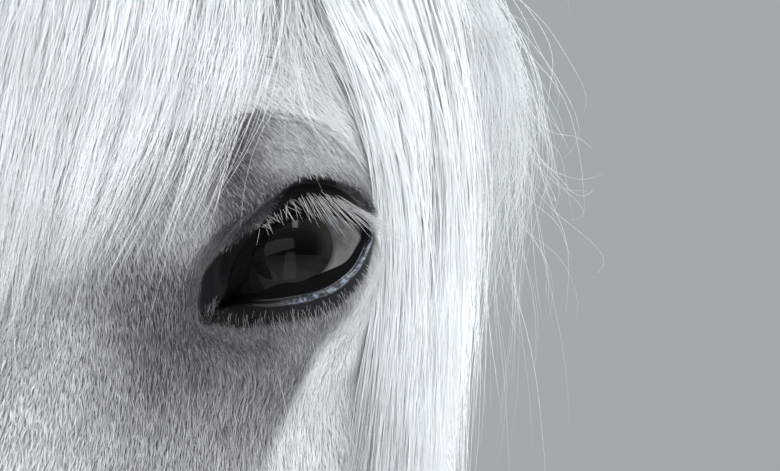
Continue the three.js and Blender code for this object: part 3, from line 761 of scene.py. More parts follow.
def line_distance(u, v, line):
    """The least distance from a line of points, taken along its short straight steps."""
    line = dense(line, 6)
    best = np.full(np.shape(u), 1e9)
    for a, b in zip(line[:-1], line[1:]):
        d = b - a
        t = np.clip(((u - a[0]) * d[0] + (v - a[1]) * d[1]) / (d @ d), 0, 1)
        best = np.minimum(best, np.hypot(u - a[0] - t * d[0], v - a[1] - t * d[1]))
    return best


# Creases in the skin round the eye: the line each follows, its width and its depth
CREASES = [
    ([[-26, 43], [-14, 46], [-4, 45], [6, 42.5], [17, 37], [26, 29]], 1.5, 2.4),
    ([[-20, 33], [-8, 36], [6, 34], [18, 29], [27, 21]], 2.4, 1.0),
    ([[-34, -12], [-30, 0], [-22, 13], [-13, 22]], 2.6, 0.8),
    ([[-33, -24], [-20, -27], [-4, -26], [10, -20], [20, -10]], 1.6, 0.8),
    ([[-42, -26], [-24, -36], [-4, -36], [12, -28], [25, -13]], 2.0, 1.0),
    ([[-30, -45], [-12, -47], [6, -42], [22, -30]], 2.4, 0.8),
    ([[-40, -8], [-32, -14], [-25, -16]], 1.2, 0.6),
    ([[-41, -18], [-33, -19], [-26, -18]], 1.2, 0.6),
]


def head_height(u, v):
    """Height of the bare head along the look over a point (u, v), found by halving."""
    low, high = np.full(u.shape, -110.0), np.full(u.shape, 70.0)
    for _ in range(20):
        mid = (low + high) / 2
        inside = skin_level(eye_place(u, v, mid).reshape(-1, 3)).reshape(u.shape) < 0
        low, high = np.where(inside, mid, low), np.where(inside, high, mid)
    return (low + high) / 2


def eye_skin_height(u, v):
    """Height of the skin round the eye: the lids' dome and the head run together. The head
    is sunk next to the lids, in a sharp fold above them and in a wide hollow at the inner
    corner, and creases are cut along their lines."""
    turn, out = around_eye(u, v)
    r = np.hypot(u, v)
    dome_radius = BALL + LID_THICK
    past = np.maximum(r - DOME_REACH, 0)
    dome = np.sqrt(dome_radius**2 - np.minimum(r, DOME_REACH) ** 2)
    dome = dome - 1.92 * past - 0.09 * past**2
    above = near_turn(turn, 1.75, 0.75)
    inner = near_turn(turn, -2.55, 0.55)
    below = near_turn(turn, -1.35, 0.6)
    start = 2.6 + 1.0 * above - 1.0 * inner
    width = 4.0 - 0.8 * above + 22 * inner + 9 * below
    sunk = (13 + 5 * inner) * (1 - ramp(0, 1, (out - start) / width))
    socket = 14 * np.exp(-((u - 30) ** 2 + (v - 6) ** 2) / (2 * 14.0**2))
    socket = socket + 12 * np.exp(-(((u - 10) / 16) ** 2 + ((v + 22) / 12) ** 2) / 2)
    kept = 1 - ramp(0.72, 0.97, r / patch_edge(turn))
    head = head_height(u, v) + socket * kept
    head = head + 1.6 * above * np.exp(-((out - start - width) ** 2) / (2 * 3.0**2))
    blend = 3.5 + 6 * below + 5 * inner
    height = soft_max(dome, head - sunk, blend)
    for line, wide, deep in CREASES:
        height = height - kept * deep * np.exp(-((line_distance(u, v, line) / wide) ** 2))
    soft = lattice_noise(np.stack([u, v, 0 * u], -1).reshape(-1, 3), 3.2, 5).reshape(u.shape)
    return height + 0.16 * soft * ramp(0, 6, out)


# How the rim of a lid stands off the ball, by the share of its width from the inner edge
RIM_STEPS = np.array([
    [-0.55, 0.02], [-0.2, 0.04], [0.0, 0.1], [0.05, 0.4], [0.14, 0.72], [0.28, 0.95],
    [0.44, 1.1], [0.58, 1.3], [0.66, 1.6], [0.7, 2.15], [0.76, 2.7], [0.84, 3.05], [0.92, 3.2],
    [1.0, LID_THICK],
])


def eye_patch():
    """The skin round the eye, as rings about the look: under the lid, across its rim, and
    out over the face. Gives the points and each one's share across the rim, which grows on
    past 1 outside the lash line."""
    share, thick = RIM_STEPS[:, :1], RIM_STEPS[:, 1:]
    arc = EDGE + share * RIM
    reach, height = on_lid(arc, thick)
    outer = np.linspace(0, 1, 58)[1:, None] ** 1.25
    wide = LASH_REACH + (patch_edge(TURNS) - LASH_REACH) * outer
    u, v = wide * np.cos(TURNS), wide * np.sin(TURNS)
    just_out = LASH_REACH + 0.01
    lash_top = eye_skin_height(just_out * np.cos(TURNS), just_out * np.sin(TURNS))
    outside = wide - LASH_REACH
    w = eye_skin_height(u, v) + (LASH_HEIGHT - lash_top) * np.exp(-outside / 2.2)
    rim = eye_place(reach * np.cos(TURNS), reach * np.sin(TURNS), height)
    behind = np.linspace(1, 0, 9)[:-1, None]
    lean = (math.pi - 0.03) * behind + arc[0] / BALL * (1 - behind)
    deep, back = on_lid(lean * BALL, 0.5 * np.minimum(behind * 6, 1))
    socket = eye_place(deep * np.cos(TURNS), deep * np.sin(TURNS), back)
    points = np.concatenate([socket, rim, eye_place(u, v, w)])
    across = np.concatenate([
        np.full(deep.shape, -0.6), np.repeat(share, SIDES_ROUND, 1), 1 + outside / 4
    ])
    return points, across


IRIS_WIDE, IRIS_HIGH, IRIS_TILT = 14.2, 12.6, math.radians(12)
IRIS_BULGE, IRIS_RINGS, BALL_RINGS, BALL_SIDES = 2.5, 34, 50, 128
LID_GAP = 0.15
GAZE_U, GAZE_V, GAZE_W = -0.185, 0.075, 0.982


def eyeball(name, side):
    """A ball with a clear bulge over its iris. Rings run from the middle of the gaze, out
    over an oval bulge, and round the rest of the ball to its back. The bulge is its height
    times (1 - share^2)^1.3, by the share of the way out to the edge of the iris."""
    gaze = unit(GAZE_U * EYE_U + GAZE_V * EYE_V + GAZE_W * EYE_W)
    right = unit(EYE_U - (EYE_U @ gaze) * gaze)
    over = np.cross(gaze, right)
    turn = full_turn(BALL_SIDES)
    tilt = turn - IRIS_TILT
    oval = 1 / np.sqrt((np.cos(tilt) / IRIS_WIDE) ** 2 + (np.sin(tilt) / IRIS_HIGH) ** 2) / BALL
    inside = np.linspace(0.02, 1, IRIS_RINGS)[:, None]
    beyond = np.linspace(0, 1, BALL_RINGS)[1:, None] ** 1.2
    lean = np.concatenate([inside * oval, oval + (math.pi - 0.02 - oval) * beyond])
    iris = np.concatenate([np.repeat(inside, BALL_SIDES, 1), 1 + (lean[IRIS_RINGS:] - oval) * 4])
    r = BALL - LID_GAP + IRIS_BULGE * np.maximum(1 - iris**2, 0) ** 1.3
    direction = (
        (np.sin(lean) * np.cos(turn))[..., None] * right
        + (np.sin(lean) * np.sin(turn))[..., None] * over
        + np.cos(lean)[..., None] * gaze
    )
    points, faces = closed_tube(BALL_MIDDLE + r[..., None] * direction)
    ends = [(BALL - LID_GAP + IRIS_BULGE) * gaze, -(BALL - LID_GAP) * gaze]
    points[-2:] = BALL_MIDDLE + np.stack(ends)
    if side < 0:
        points, faces = points * [-1, 1, 1], [g[:, ::-1] for g in faces]
    ball = new_object(name, points, faces)
    around = np.stack(np.broadcast_arrays(iris, np.cos(turn), np.sin(turn)), -1).reshape(-1, 3)
    full = np.concatenate([around, [[0, 0, 0], [30, 0, 0]]])
    write(ball.data, "iris", "FLOAT_VECTOR", "vector", full)
    return ball


def write(mesh, name, kind, field, values):
    """Keeps values of a kind at the points of a mesh under a name."""
    layer = mesh.attributes.new(name, kind, "POINT")
    layer.data.foreach_set(field, values.astype(np.float32).ravel())


def write_colours(mesh, name, values):
    """Keeps a colour at each point, with a 1 as its fourth number."""
    full = np.concatenate([values, np.ones((len(values), 1))], 1)
    write(mesh, name, "FLOAT_COLOR", "color", full)


def add_eye_skin(skin):
    """Cuts a round hole in the skin over each eye and sews the fine skin of the eye into it."""
    points, across = eye_patch()
    rings = len(points)
    build = bmesh.new()
    build.from_mesh(skin.data)
    middles = np.array([f.calc_center_median() for f in build.faces]) * 1000
    u, v, w = eye_coordinates(middles)
    hole = (np.hypot(u, v) < patch_edge(np.arctan2(v, u)) + 3.5) & (w > -92)
    bmesh.ops.delete(
        build, geom=[f for f, cut in zip(build.faces, hole) if cut], context="FACES"
    )
    loose = [v for v in build.verts if not v.link_faces]
    bmesh.ops.delete(build, geom=loose, context="VERTS")
    edges = [e for e in build.edges if e.is_boundary]
    share = build.verts.layers.float.new("across")
    for v in build.verts:
        v[share] = 99
    for side in (1, -1):
        flat = straight(points.reshape(-1, 3) * [side, 1, 1])
        fresh = [build.verts.new(place) for place in flat]
        for v, value in zip(fresh, across.ravel()):
            v[share] = value
        for a, b, c, d in tube_faces(rings, SIDES_ROUND)[:, ::side]:
            build.faces.new((fresh[a], fresh[b], fresh[c], fresh[d]))
        build.faces.new(fresh[:SIDES_ROUND][::-side])
        last = fresh[(rings - 1) * SIDES_ROUND :]
        rim = [build.edges.get((last[i], last[i - 1])) for i in range(SIDES_ROUND)]
        near = [e for e in edges if e.verts[0].co.x * side > 0]
        away = EYE_W * [side, 1, 1]
        bmesh.ops.triangle_fill(build, use_beauty=True, edges=near + rim, normal=away)
    bmesh.ops.recalc_face_normals(build, faces=build.faces)
    for face in build.faces:
        face.smooth = True
    build.to_mesh(skin.data)
    build.free()


# ---- Markings: how grey the coat is, where the skin lies bare; painted highlight and shade ----


def greyness(p):
    """0 on white coat to 1 on dark: a patch in front of and below each eye, ended above by the
    crease of the brow and behind by a slanting edge, then a grey muzzle, and greyer knees,
    hocks and feet. Each part is a product of ramps, and the greatest part counts."""
    u, v, w = eye_coordinates(p)
    soft = 3.5 * lattice_noise(p, 9.0, 11) + 2.0 * lattice_noise(p, 3.5, 12)
    edge = np.interp(v, [-95, -68, -45, -23, 6, 18, 30, 37, 50],
                     [-27, -12, 1, 12.5, 29, 31, 29, 25, 18])
    behind = 1 - ramp(-4, 5, u - edge + soft * 0.5)
    crease = np.interp(u, [-54, -26, -14, -4, 6, 17, 26], [40, 42, 45, 44, 41.5, 36, 29])
    above = 1 - 0.88 * ramp(-1.5, 3, v - crease + soft * 0.4)
    ahead = 0.38 + 0.62 * ramp(-86, -50, u + soft)
    ahead = ahead * (1 - 0.5 * ramp(-12, 8, v) * (1 - ramp(-38, -24, u)))
    level = 0.8 - 0.42 * ramp(19, 30, v) * ramp(-22, -6, u) - 0.42 * ramp(30, 72, -v)
    level = level - 0.14 * np.exp(-(((u - 2) / 14) ** 2 + ((v + 30) / 12) ** 2))
    level = level - 0.05 * np.exp(-(((u + 22) / 14) ** 2 + ((v + 38) / 14) ** 2))
    patch = behind * above * ahead * level * (1 - ramp(75, 135, -v)) * ramp(-70, -30, w)
    on_head = 1 - ramp(-1000, -960, p[:, 1])
    muzzle = 0.85 * ramp(455, 545, head_coordinates(p)[0] + 2 * soft) * on_head
    legs = 0.3 * np.exp(-(((p[:, 2] - 470) / 90) ** 2)) + 0.35 * (1 - ramp(150, 260, p[:, 2]))
    dapple = 0.07 * (1 + lattice_noise(p, 45.0, 21)) * ramp(-900, -500, p[:, 1])
    return np.clip(np.maximum(np.maximum(patch, muzzle), legs + dapple), 0, 1)


def bare_reach(turn):
    """How far past the lash line the skin lies bare, by the turn about the look."""
    return (
        2.8
        + 4.0 * near_turn(turn, 1.35, 0.42)
        - 2.4 * near_turn(turn, 2.45, 0.5)
        + 8.5 * near_turn(turn, -2.72, 0.32)
        + 3.0 * near_turn(turn, -1.5, 0.8)
        - 1.4 * near_turn(turn, 0.3, 0.5)
    )


def bareness(p):
    """1 on the bare dark skin by the lids and 0 on haired skin."""
    u, v, w = eye_coordinates(p)
    turn, out = around_eye(u, v)
    soft = 0.9 * lattice_noise(p, 2.6, 31)
    near = (w > -40) & (np.abs(p[:, 0]) > 20)
    return np.where(near, 1 - ramp(-1.2, 1.6, out - bare_reach(turn) + soft), 0)


LIGHT_SKIN = np.array([0.6, 0.615, 0.635])
GREY_SKIN = np.array([0.075, 0.08, 0.09])
LIP_SKIN = np.array([0.17, 0.155, 0.155])
DARK_SKIN = np.array([0.0098, 0.0112, 0.0142])
RIM_SKIN = np.array([0.004, 0.0042, 0.005])
# The colour of the painted highlight on each lower lid
LID_HIGHLIGHT_PAINT = np.array([0.22, 0.265, 0.32])
WHITE_HAIR = np.array([0.83, 0.85, 0.865])
DARK_HAIR = np.array([0.035, 0.038, 0.044])


def mixed(a, b, share):
    """From a to b by a share at each place."""
    return a + (b - a) * share[..., None]


def painted_lid_highlight(p, across):
    """How strong the painted highlight is: a pale flecked stripe on the lower lid's outer roll.
    It is a ramp up and down along the lid, times the same across its rim, times noise."""
    turn = around_eye(*eye_coordinates(p)[:2])[0]
    along = ramp(-2.2, -1.5, turn) * (1 - ramp(0.1, 0.36, turn))
    roll = ramp(0.62, 0.8, across) * (1 - ramp(0.92, 1.12, across))
    flecks = ramp(-0.5, 0.7, lattice_noise(p, 0.8, 43) + 0.6 * lattice_noise(p, 0.4, 44))
    return along * roll * (0.1 + 0.9 * flecks)


def skin_shades(p, across):
    """Skin colour: grey under grey coat, dark where bare, flecked; painted highlight and shade."""
    grey = greyness(p)
    haired = mixed(LIGHT_SKIN, GREY_SKIN, np.minimum(grey * 1.2, 1))
    by_lips = ramp(490, 540, head_coordinates(p)[0]) * (p[:, 1] < LIPS_FROM)
    mottled = 0.75 * ramp(-0.2, 0.7, lattice_noise(p, 15.0, 61)) * by_lips
    haired = mixed(haired, LIP_SKIN, mottled)
    shade = mixed(haired, DARK_SKIN, bareness(p))
    shade = mixed(shade, RIM_SKIN, 1 - ramp(1.0, 1.25, across))
    # Painted highlight: a pale flecked stripe on each lower lid, in place of its wet shine
    shade = mixed(shade, LID_HIGHLIGHT_PAINT, painted_lid_highlight(p, across))
    # Painted shade: near black inside the nostrils and along the line between the lips
    shade = shade * (1 - 0.96 * in_hollows(p))[:, None]
    return shade * (1 + 0.12 * lattice_noise(p, 1.6, 41)[:, None])


# ---- Hair ----


def before_jaw(p):
    """y of points, less a slant of their depth below the top of the jaw, so that one value of
    it marks the line between head and neck."""
    return p[:, 1] - JAW_SLANT * (JAW_LEVEL - np.minimum(p[:, 2], EAR_LEVEL))


def lie_of_coat(p, normals):
    """Which way the coat lies: out from a whorl on the forehead and down the face, back and
    down over the neck and trunk, and down the legs, always along the skin."""
    along, out, _ = head_coordinates(p)
    from_whorl = unit(p - head_point(148.0, 14.0, 0.0))
    down_face = ramp(150, 330, along)[:, None]
    side_back = np.array([0.0, 0.55, -0.75]) * ramp(-60, -150, out)[:, None]
    face = from_whorl + 1.1 * FACE_AXIS * down_face + side_back * (1 - 0.6 * down_face)
    u, v, w = eye_coordinates(p)
    away = u[:, None] * EYE_U + v[:, None] * EYE_V
    away[:, 0] *= np.sign(p[:, 0])
    _, clear = around_eye(u, v)
    near_lid = np.exp(-np.maximum(clear, 0) / 7.0) * ((w > -30) & (v < 12))
    face = face + 1.6 * near_lid[:, None] * unit(away)
    body = np.array([0.0, 1.0, -0.45]) + 0.25 * np.stack(
        [lattice_noise(p, 160.0, 51 + k) for k in range(3)], 1
    )
    leg = np.array([0.0, 0.12, -1.0])
    low = (1 - ramp(700, 900, p[:, 2]))[:, None]
    body = body * (1 - low) + leg * low
    on_head = (1 - ramp(HEAD_FROM - 25, HEAD_FROM + 45, before_jaw(p)))[:, None]
    lie = face * on_head + unit(body) * (1 - on_head)
    on_ear = ramp(1812, 1830, p[:, 2])[:, None]
    lie = lie * (1 - on_ear) + np.array([0.0, -0.25, 1.0]) * on_ear
    return unit(lie - (lie * normals).sum(1)[:, None] * normals)


def scatter(points, triangles, normals, density, rng):
    """Places spread over triangles, as many to a square millimetre as `density` says at each
    triangle's middle, with the normal of the skin there."""
    a, b, c = (points[triangles[:, k]] for k in range(3))
    area = np.linalg.norm(np.cross(b - a, c - a), axis=1) / 2
    wanted = area * density((a + b + c) / 3)
    count = rng.poisson(wanted.sum())
    chosen = rng.choice(len(triangles), count, p=wanted / wanted.sum())
    s, t = rng.random((2, count))
    s, t = np.where(s + t > 1, 1 - s, s), np.where(s + t > 1, 1 - t, t)
    share = np.stack([1 - s - t, s, t], 1)
    corners = triangles[chosen]
    at = (points[corners] * share[..., None]).sum(1)
    return at, unit((normals[corners] * share[..., None]).sum(1))


def unwrapped(p):
    """A place on a flat sheet for each place on the horse: round each part by its angle, and
    along it by its length, with the parts laid side by side."""
    def round_share(aside, ahead):
        """An angle as a share of a full turn, from 0 to 1."""
        return 0.5 + np.arctan2(aside, ahead) / (2 * np.pi)

    x, y, z = p.T
    along, out, left = head_coordinates(p)
    head_v = np.clip((along + 120) / 760, 0, 1)
    body_v = np.clip((y + 1060) / 2100, 0, 1)
    on_head, foot = y < HEAD_FROM, z < 800
    leg_u = round_share(np.abs(x) - 152, y + np.where(y < 0, 540, -720))
    column = (y > 0) * 2 + (x > 0)
    u = np.where(foot, (column + leg_u) / 4.2, 0.51 + 0.48 * round_share(x, z - 1150))
    v = np.where(foot, 0.33 * z / 800, 0.35 + 0.64 * body_v)
    u = np.where(on_head, round_share(left, out + 70) * 0.49, u)
    v = np.where(on_head, 0.35 + 0.64 * head_v, v)
    return np.clip(np.stack([u, v], 1), 0.002, 0.998)


def add_bake_map(mesh, roots, across, along):
    """A small patch of the flat sheet for each tuft, about its root's place."""
    spots = roots + 0.003 * np.stack([across - 0.5, along - 0.5], 1)
    corners = read(mesh.loops, "vertex_index", np.int32)
    layer = mesh.uv_layers.new(name="OFBake")
    layer.data.foreach_set("uv", np.clip(spots, 0, 1)[corners].astype(np.float32).ravel())


def blades(name, roots, normals, lie, length, width, lift, shades, finish):
    """Hairs or tufts as flat pointed blades. Each starts just under the skin, rises by its
    `lift` and bows over towards its tip: root pair, middle pair and tip."""
    side = unit(np.cross(normals, lie)) * width[:, None] / 2
    run, rise = length[:, None] * np.cos(lift)[:, None], length[:, None] * np.sin(lift)[:, None]
    base = roots - 0.25 * normals
    mid = roots + 0.52 * run * lie + 0.62 * rise * normals
    tip = roots + run * lie + 0.85 * rise * normals
    points = np.stack([base - side, base + side, mid - 0.85 * side, mid + 0.85 * side, tip], 1)
    first = np.arange(len(roots))[:, None] * 5
    faces = [first + [0, 1, 3, 2], first + [2, 3, 4]]
    piece = new_object(name, points.reshape(-1, 3), faces)
    # Painted shade: each blade is darker at its root, deep in the coat, and a touch paler at its
    # tip
    deep = np.array([0.84, 0.84, 0.97, 0.97, 1.03])
    write_colours(piece.data, "shade", (shades[:, None] * deep[:, None]).reshape(-1, 3))
    spots = np.repeat(unwrapped(roots), 5, 0)
    across = np.tile([0, 1, 0, 1, 0.5], len(roots))
    along = np.tile([0, 0, 0.5, 0.5, 1.0], len(roots))
    add_bake_map(piece.data, spots, across, along)
    piece.data.materials.append(finish)
    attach(piece, "root")
    return piece


def ribbons(name, paths, width, facing, shades, finish):
    """Long hairs as flat ribbons along paths, shape (hairs, steps, 3): each is as wide as
    `width` along it, lies square to `facing`, and ends in a point."""
    hairs, steps, _ = paths.shape
    tangent = unit(np.gradient(paths, axis=1))
    side = unit(np.cross(facing, tangent)) * width[..., None] / 2
    pairs = np.stack([paths[:, :-1] - side[:, :-1], paths[:, :-1] + side[:, :-1]], 2)
    points = np.concatenate([pairs.reshape(hairs, -1, 3), paths[:, -1:]], 1)
    per = 2 * (steps - 1) + 1
    first = np.arange(hairs)[:, None, None] * per
    k = np.arange(steps - 2)[None, :, None] * 2
    quads = (first + k + np.array([0, 1, 3, 2])).reshape(-1, 4)
    tips = np.arange(hairs)[:, None] * per + np.array([per - 3, per - 2, per - 1])
    piece = new_object(name, points.reshape(-1, 3), [quads, tips])
    shade = np.concatenate([np.repeat(shades[:, :-1], 2, 1), shades[:, -1:]], 1)
    write_colours(piece.data, "shade", shade.reshape(-1, 3))
    roots = np.repeat(unwrapped(paths[:, 0]), per, 0)
    across = np.tile(np.append(np.tile([0.0, 1.0], steps - 1), 0.5), hairs)
    along = np.tile(np.append(np.repeat(np.arange(steps - 1), 2), steps - 1) / (steps - 1), hairs)
    add_bake_map(piece.data, roots, across, along)
    piece.data.materials.append(finish)
    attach(piece, "root")
    return piece


# ---- Materials ----


class Shading:
    """A tree of shading nodes."""

    def __init__(self, tree):
        self.tree = tree

    def node(self, kind, inputs=None, **settings):
        """A node of a kind, with its settings, and its inputs set or joined."""
        made = self.tree.nodes.new(kind)
        for key, value in settings.items():
            setattr(made, key, value)
        for key, value in (inputs or {}).items():
            if isinstance(value, bpy.types.NodeSocket):
                self.tree.links.new(value, made.inputs[key])
            else:
                made.inputs[key].default_value = value
        return made

    def sum(self, kind, *values, clamp=False):
        """The outcome of one sum of values."""
        inputs = dict(enumerate(values))
        return self.node("ShaderNodeMath", inputs, operation=kind, use_clamp=clamp).outputs[0]


class Surface(Shading):
    """A material whose Principled shader's sockets are set or joined by name."""

    def __init__(self, name, **values):
        self.material = bpy.data.materials.new(name)
        self.material.use_nodes = True
        super().__init__(self.material.node_tree)
        self.shader = self.tree.nodes["Principled BSDF"]
        for socket, value in values.items():
            self.shader.inputs[socket.replace("_", " ")].default_value = value

    def join(self, source, socket):
        """Joins an output to one of the shader's sockets."""
        self.tree.links.new(source, self.shader.inputs[socket])

    def attribute(self, name, output="Color"):
        """A value kept at the points of the piece."""
        return self.node("ShaderNodeAttribute", attribute_name=name).outputs[output]

    def noise(self, scale, stretch=(1, 1, 1), turned=(0, 0, 0), detail=3.0):
        """Noise on the piece's own coordinates, drawn out along an axis by a small stretch."""
        place = self.node("ShaderNodeTexCoord").outputs["Object"]
        mapped = self.node(
            "ShaderNodeMapping", {"Vector": place, "Scale": stretch, "Rotation": turned},
        ).outputs["Vector"]
        return self.node(
            "ShaderNodeTexNoise",
            {"Vector": mapped, "Scale": scale, "Detail": detail, "Roughness": 0.6},
        ).outputs["Fac"]

    def ranged(self, value, low, high, to_low, to_high):
        """A value carried from one range to another."""
        return self.node(
            "ShaderNodeMapRange",
            {"Value": value, "From Min": low, "From Max": high, "To Min": to_low,
             "To Max": to_high},
        ).outputs["Result"]

    def mix(self, share, a, b):
        """From colour a to colour b by a share."""
        return self.node("ShaderNodeMix", {0: share, 6: a, 7: b}, data_type="RGBA").outputs[2]

    def scaled(self, colour, tone):
        """A colour times a tone."""
        inputs = {0: colour, "Scale": tone}
        return self.node("ShaderNodeVectorMath", inputs, operation="SCALE").outputs[0]

    def bump(self, height, strength, depth, under=None):
        """A bumped normal, over another one if given."""
        inputs = {"Height": height, "Strength": strength, "Distance": depth}
        if under is not None:
            inputs["Normal"] = under
        return self.node("ShaderNodeBump", inputs).outputs["Normal"]


def skin_material():
    """Haired skin with short flat fur in its bump, and bare leathery skin round the eyes."""
    s = Surface("skin_and_short_fur", IOR=1.3)
    shade = s.attribute("shade")
    bare = s.attribute("bare", "Fac")
    leaning = (math.radians(-24), 0, 0)
    fur = s.noise(900, (1.0, 0.12, 0.5), leaning, 2)
    streaks = s.noise(160, (1.0, 0.1, 0.6), leaning, 4)
    grain = s.noise(1500, detail=4)
    both = s.sum("ADD", fur, streaks)
    s.join(s.scaled(shade, s.ranged(both, 0.7, 1.3, 0.8, 1.12)), "Base Color")
    s.join(s.ranged(bare, 0.0, 1.0, 0.75, 0.6), "Roughness")
    furry = s.sum("SUBTRACT", 1.0, bare, clamp=True)
    coarse = s.bump(both, s.sum("MULTIPLY", furry, 0.5), 0.0015)
    s.join(s.bump(grain, s.sum("MULTIPLY", bare, 0.4), 0.0004, coarse), "Normal")
    return s.material


def lid_material(name, roughness, ior):
    """Moist bare skin across the rim of a lid, with a fine grain."""
    s = Surface(name, Roughness=roughness, IOR=ior)
    s.join(s.attribute("shade"), "Base Color")
    s.join(s.bump(s.noise(1100, detail=3), 0.25, 0.0003), "Normal")
    return s.material


def eye_material():
    """A dark glossy ball: a near-black slot of a pupil in a brown iris with fine fibres, then
    a dark ring, then a veined grey-beige white, near black towards the inner corner and lighter
    below as painted light. All follows the share out from the iris and the turn about it."""
    s = Surface("eye", Roughness=0.04, IOR=1.35)
    parts = s.node("ShaderNodeSeparateXYZ", {0: s.attribute("iris", "Vector")})
    share, c, d = parts.outputs
    wide, high = (
        s.sum("MULTIPLY", s.sum("MULTIPLY", share, way), size)
        for way, size in ((c, 1.35), (d, 2.3))
    )
    squares = s.sum("ADD", s.sum("MULTIPLY", wide, wide), s.sum("MULTIPLY", high, high))
    pupil = s.ranged(s.sum("SQRT", squares, 0), 0.8, 1.0, 0.0, 1.0)
    place = s.node("ShaderNodeCombineXYZ", {0: s.sum("MULTIPLY", share, 0.6), 1: c, 2: d})
    fibres = s.node(
        "ShaderNodeTexNoise", {"Vector": place.outputs[0], "Scale": 14.0, "Detail": 4.0}
    ).outputs["Fac"]
    threads = s.ranged(fibres, 0.35, 0.65, 0, 1)
    brown = s.mix(threads, (0.003, 0.0024, 0.002, 1), (0.008, 0.006, 0.0045, 1))
    iris = s.mix(pupil, (0.0015, 0.0015, 0.0018, 1), brown)
    ringed = s.mix(s.ranged(share, 0.84, 0.97, 0, 1), iris, (0.003, 0.0026, 0.0026, 1))
    veins = s.ranged(s.noise(420, detail=5), 0.4, 0.62, 0, 1)
    white = s.mix(veins, (0.05, 0.05, 0.052, 1), (0.075, 0.08, 0.083, 1))
    # Painted light: the white is made lighter along its lower side
    white = s.mix(s.ranged(d, -0.75, 0.1, 1, 0), white, (0.19, 0.19, 0.19, 1))
    white = s.mix(s.ranged(share, 1.0, 1.3, 0, 1), (0.04, 0.034, 0.03, 1), white)
    white = s.mix(s.ranged(c, -0.25, 0.3, 1, 0), white, (0.006, 0.005, 0.005, 1))
    s.join(s.mix(s.ranged(share, 0.97, 1.03, 0, 1), ringed, white), "Base Color")
    return s.material


def hair_material(name, roughness, tone_scale):
    """Hair whose colour is laid along each blade, a little uneven from strand to strand."""
    s = Surface(name, Roughness=roughness, IOR=1.45)
    s.shader.inputs["Specular IOR Level"].default_value = 0.35
    uneven = s.ranged(s.noise(tone_scale, detail=2), 0.3, 0.7, 0.88, 1.08)
    s.join(s.scaled(s.attribute("shade"), uneven), "Base Color")
    return s.material


# ---- The stage ----
VIEW_TURN = math.radians(20)
VIEW_RIGHT = np.array([math.cos(VIEW_TURN), math.sin(VIEW_TURN), 0.0])
VIEW_BACK = np.array([math.sin(VIEW_TURN), -math.cos(VIEW_TURN), 0.0])
VIEW_AIM = EYE_CENTRE + 33.6 * VIEW_RIGHT + 7.2 * UP
VIEW_DISTANCE, FRAME_WIDE, SENSOR_WIDE = 1600.0, 249.6, 36.0


def seen_place(right, up, towards):
    """A place in metres from its offsets in the view: right, up and towards the camera, in
    millimetres from the point that the camera aims at."""
    place = VIEW_AIM + right * VIEW_RIGHT + up * UP + towards * VIEW_BACK
    return to_metres(place[None])[0]


def aimed(name, data, place, at, roll=0.0):
    """A camera or a lamp in the scene, pointed at a place."""
    thing = placed(name, data)
    thing.location = place
    away = Vector(place) - Vector(at)
    turn = away.to_track_quat("Z", "Y") @ Quaternion((0, 0, 1), math.radians(roll))
    thing.rotation_euler = turn.to_euler()
    return thing


def add_camera():
    """A camera far off, whose lens takes in FRAME_WIDE at the eye."""
    lens = bpy.data.cameras.new("camera")
    lens.sensor_width = SENSOR_WIDE
    lens.lens = SENSOR_WIDE * VIEW_DISTANCE / FRAME_WIDE
    lens.clip_end = 200
    bpy.context.scene.camera = aimed(
        "camera", lens, seen_place(0, 0, VIEW_DISTANCE), seen_place(0, 0, 0)
    )


BACKDROP = (0.365, 0.395, 0.41, 1)
ROOM_COLOUR, ROOM_LEAST, ROOM_GLOSS_LOSS = (0.95, 0.98, 1.0, 1), 0.07, 0.5


def add_surroundings():
    """A plain backdrop behind everything. What lights the horse is a room that is dark where
    the camera stands, and brighter overhead, to the right of it and a little to the left: for
    each way, a share times a power of how far a ray points along it."""
    world = bpy.data.worlds.new("surroundings")
    bpy.context.scene.world = world
    world.use_nodes = True
    s = Shading(world.node_tree)
    towards = s.node("ShaderNodeTexCoord").outputs["Generated"]
    right = seen_place(1000, 0, 0) - seen_place(0, 0, 0)
    light = ROOM_LEAST
    for axis, most, power in ((right, 1.25, 4.0), (-right, 0.1, 2.0), (UP, 0.6, 1.2)):
        share = s.node("ShaderNodeVectorMath", {0: towards, 1: axis}, operation="DOT_PRODUCT")
        share = s.sum("POWER", s.sum("MAXIMUM", share.outputs["Value"], 0.0), power)
        light = s.sum("MULTIPLY_ADD", share, most, light)
    path = s.node("ShaderNodeLightPath").outputs
    dimmed = s.sum("MULTIPLY_ADD", path["Is Glossy Ray"], -ROOM_GLOSS_LOSS, 1.0)
    light = s.sum("MULTIPLY", light, dimmed)
    room = s.node("ShaderNodeBackground", {"Color": ROOM_COLOUR, "Strength": light}).outputs[0]
    plain = s.tree.nodes["Background"]
    plain.inputs["Color"].default_value = BACKDROP
    inputs = {0: path["Is Camera Ray"], 1: room, 2: plain.outputs[0]}
    both = s.node("ShaderNodeMixShader", inputs)
    s.tree.links.new(both.outputs[0], s.tree.nodes["World Output"].inputs["Surface"])


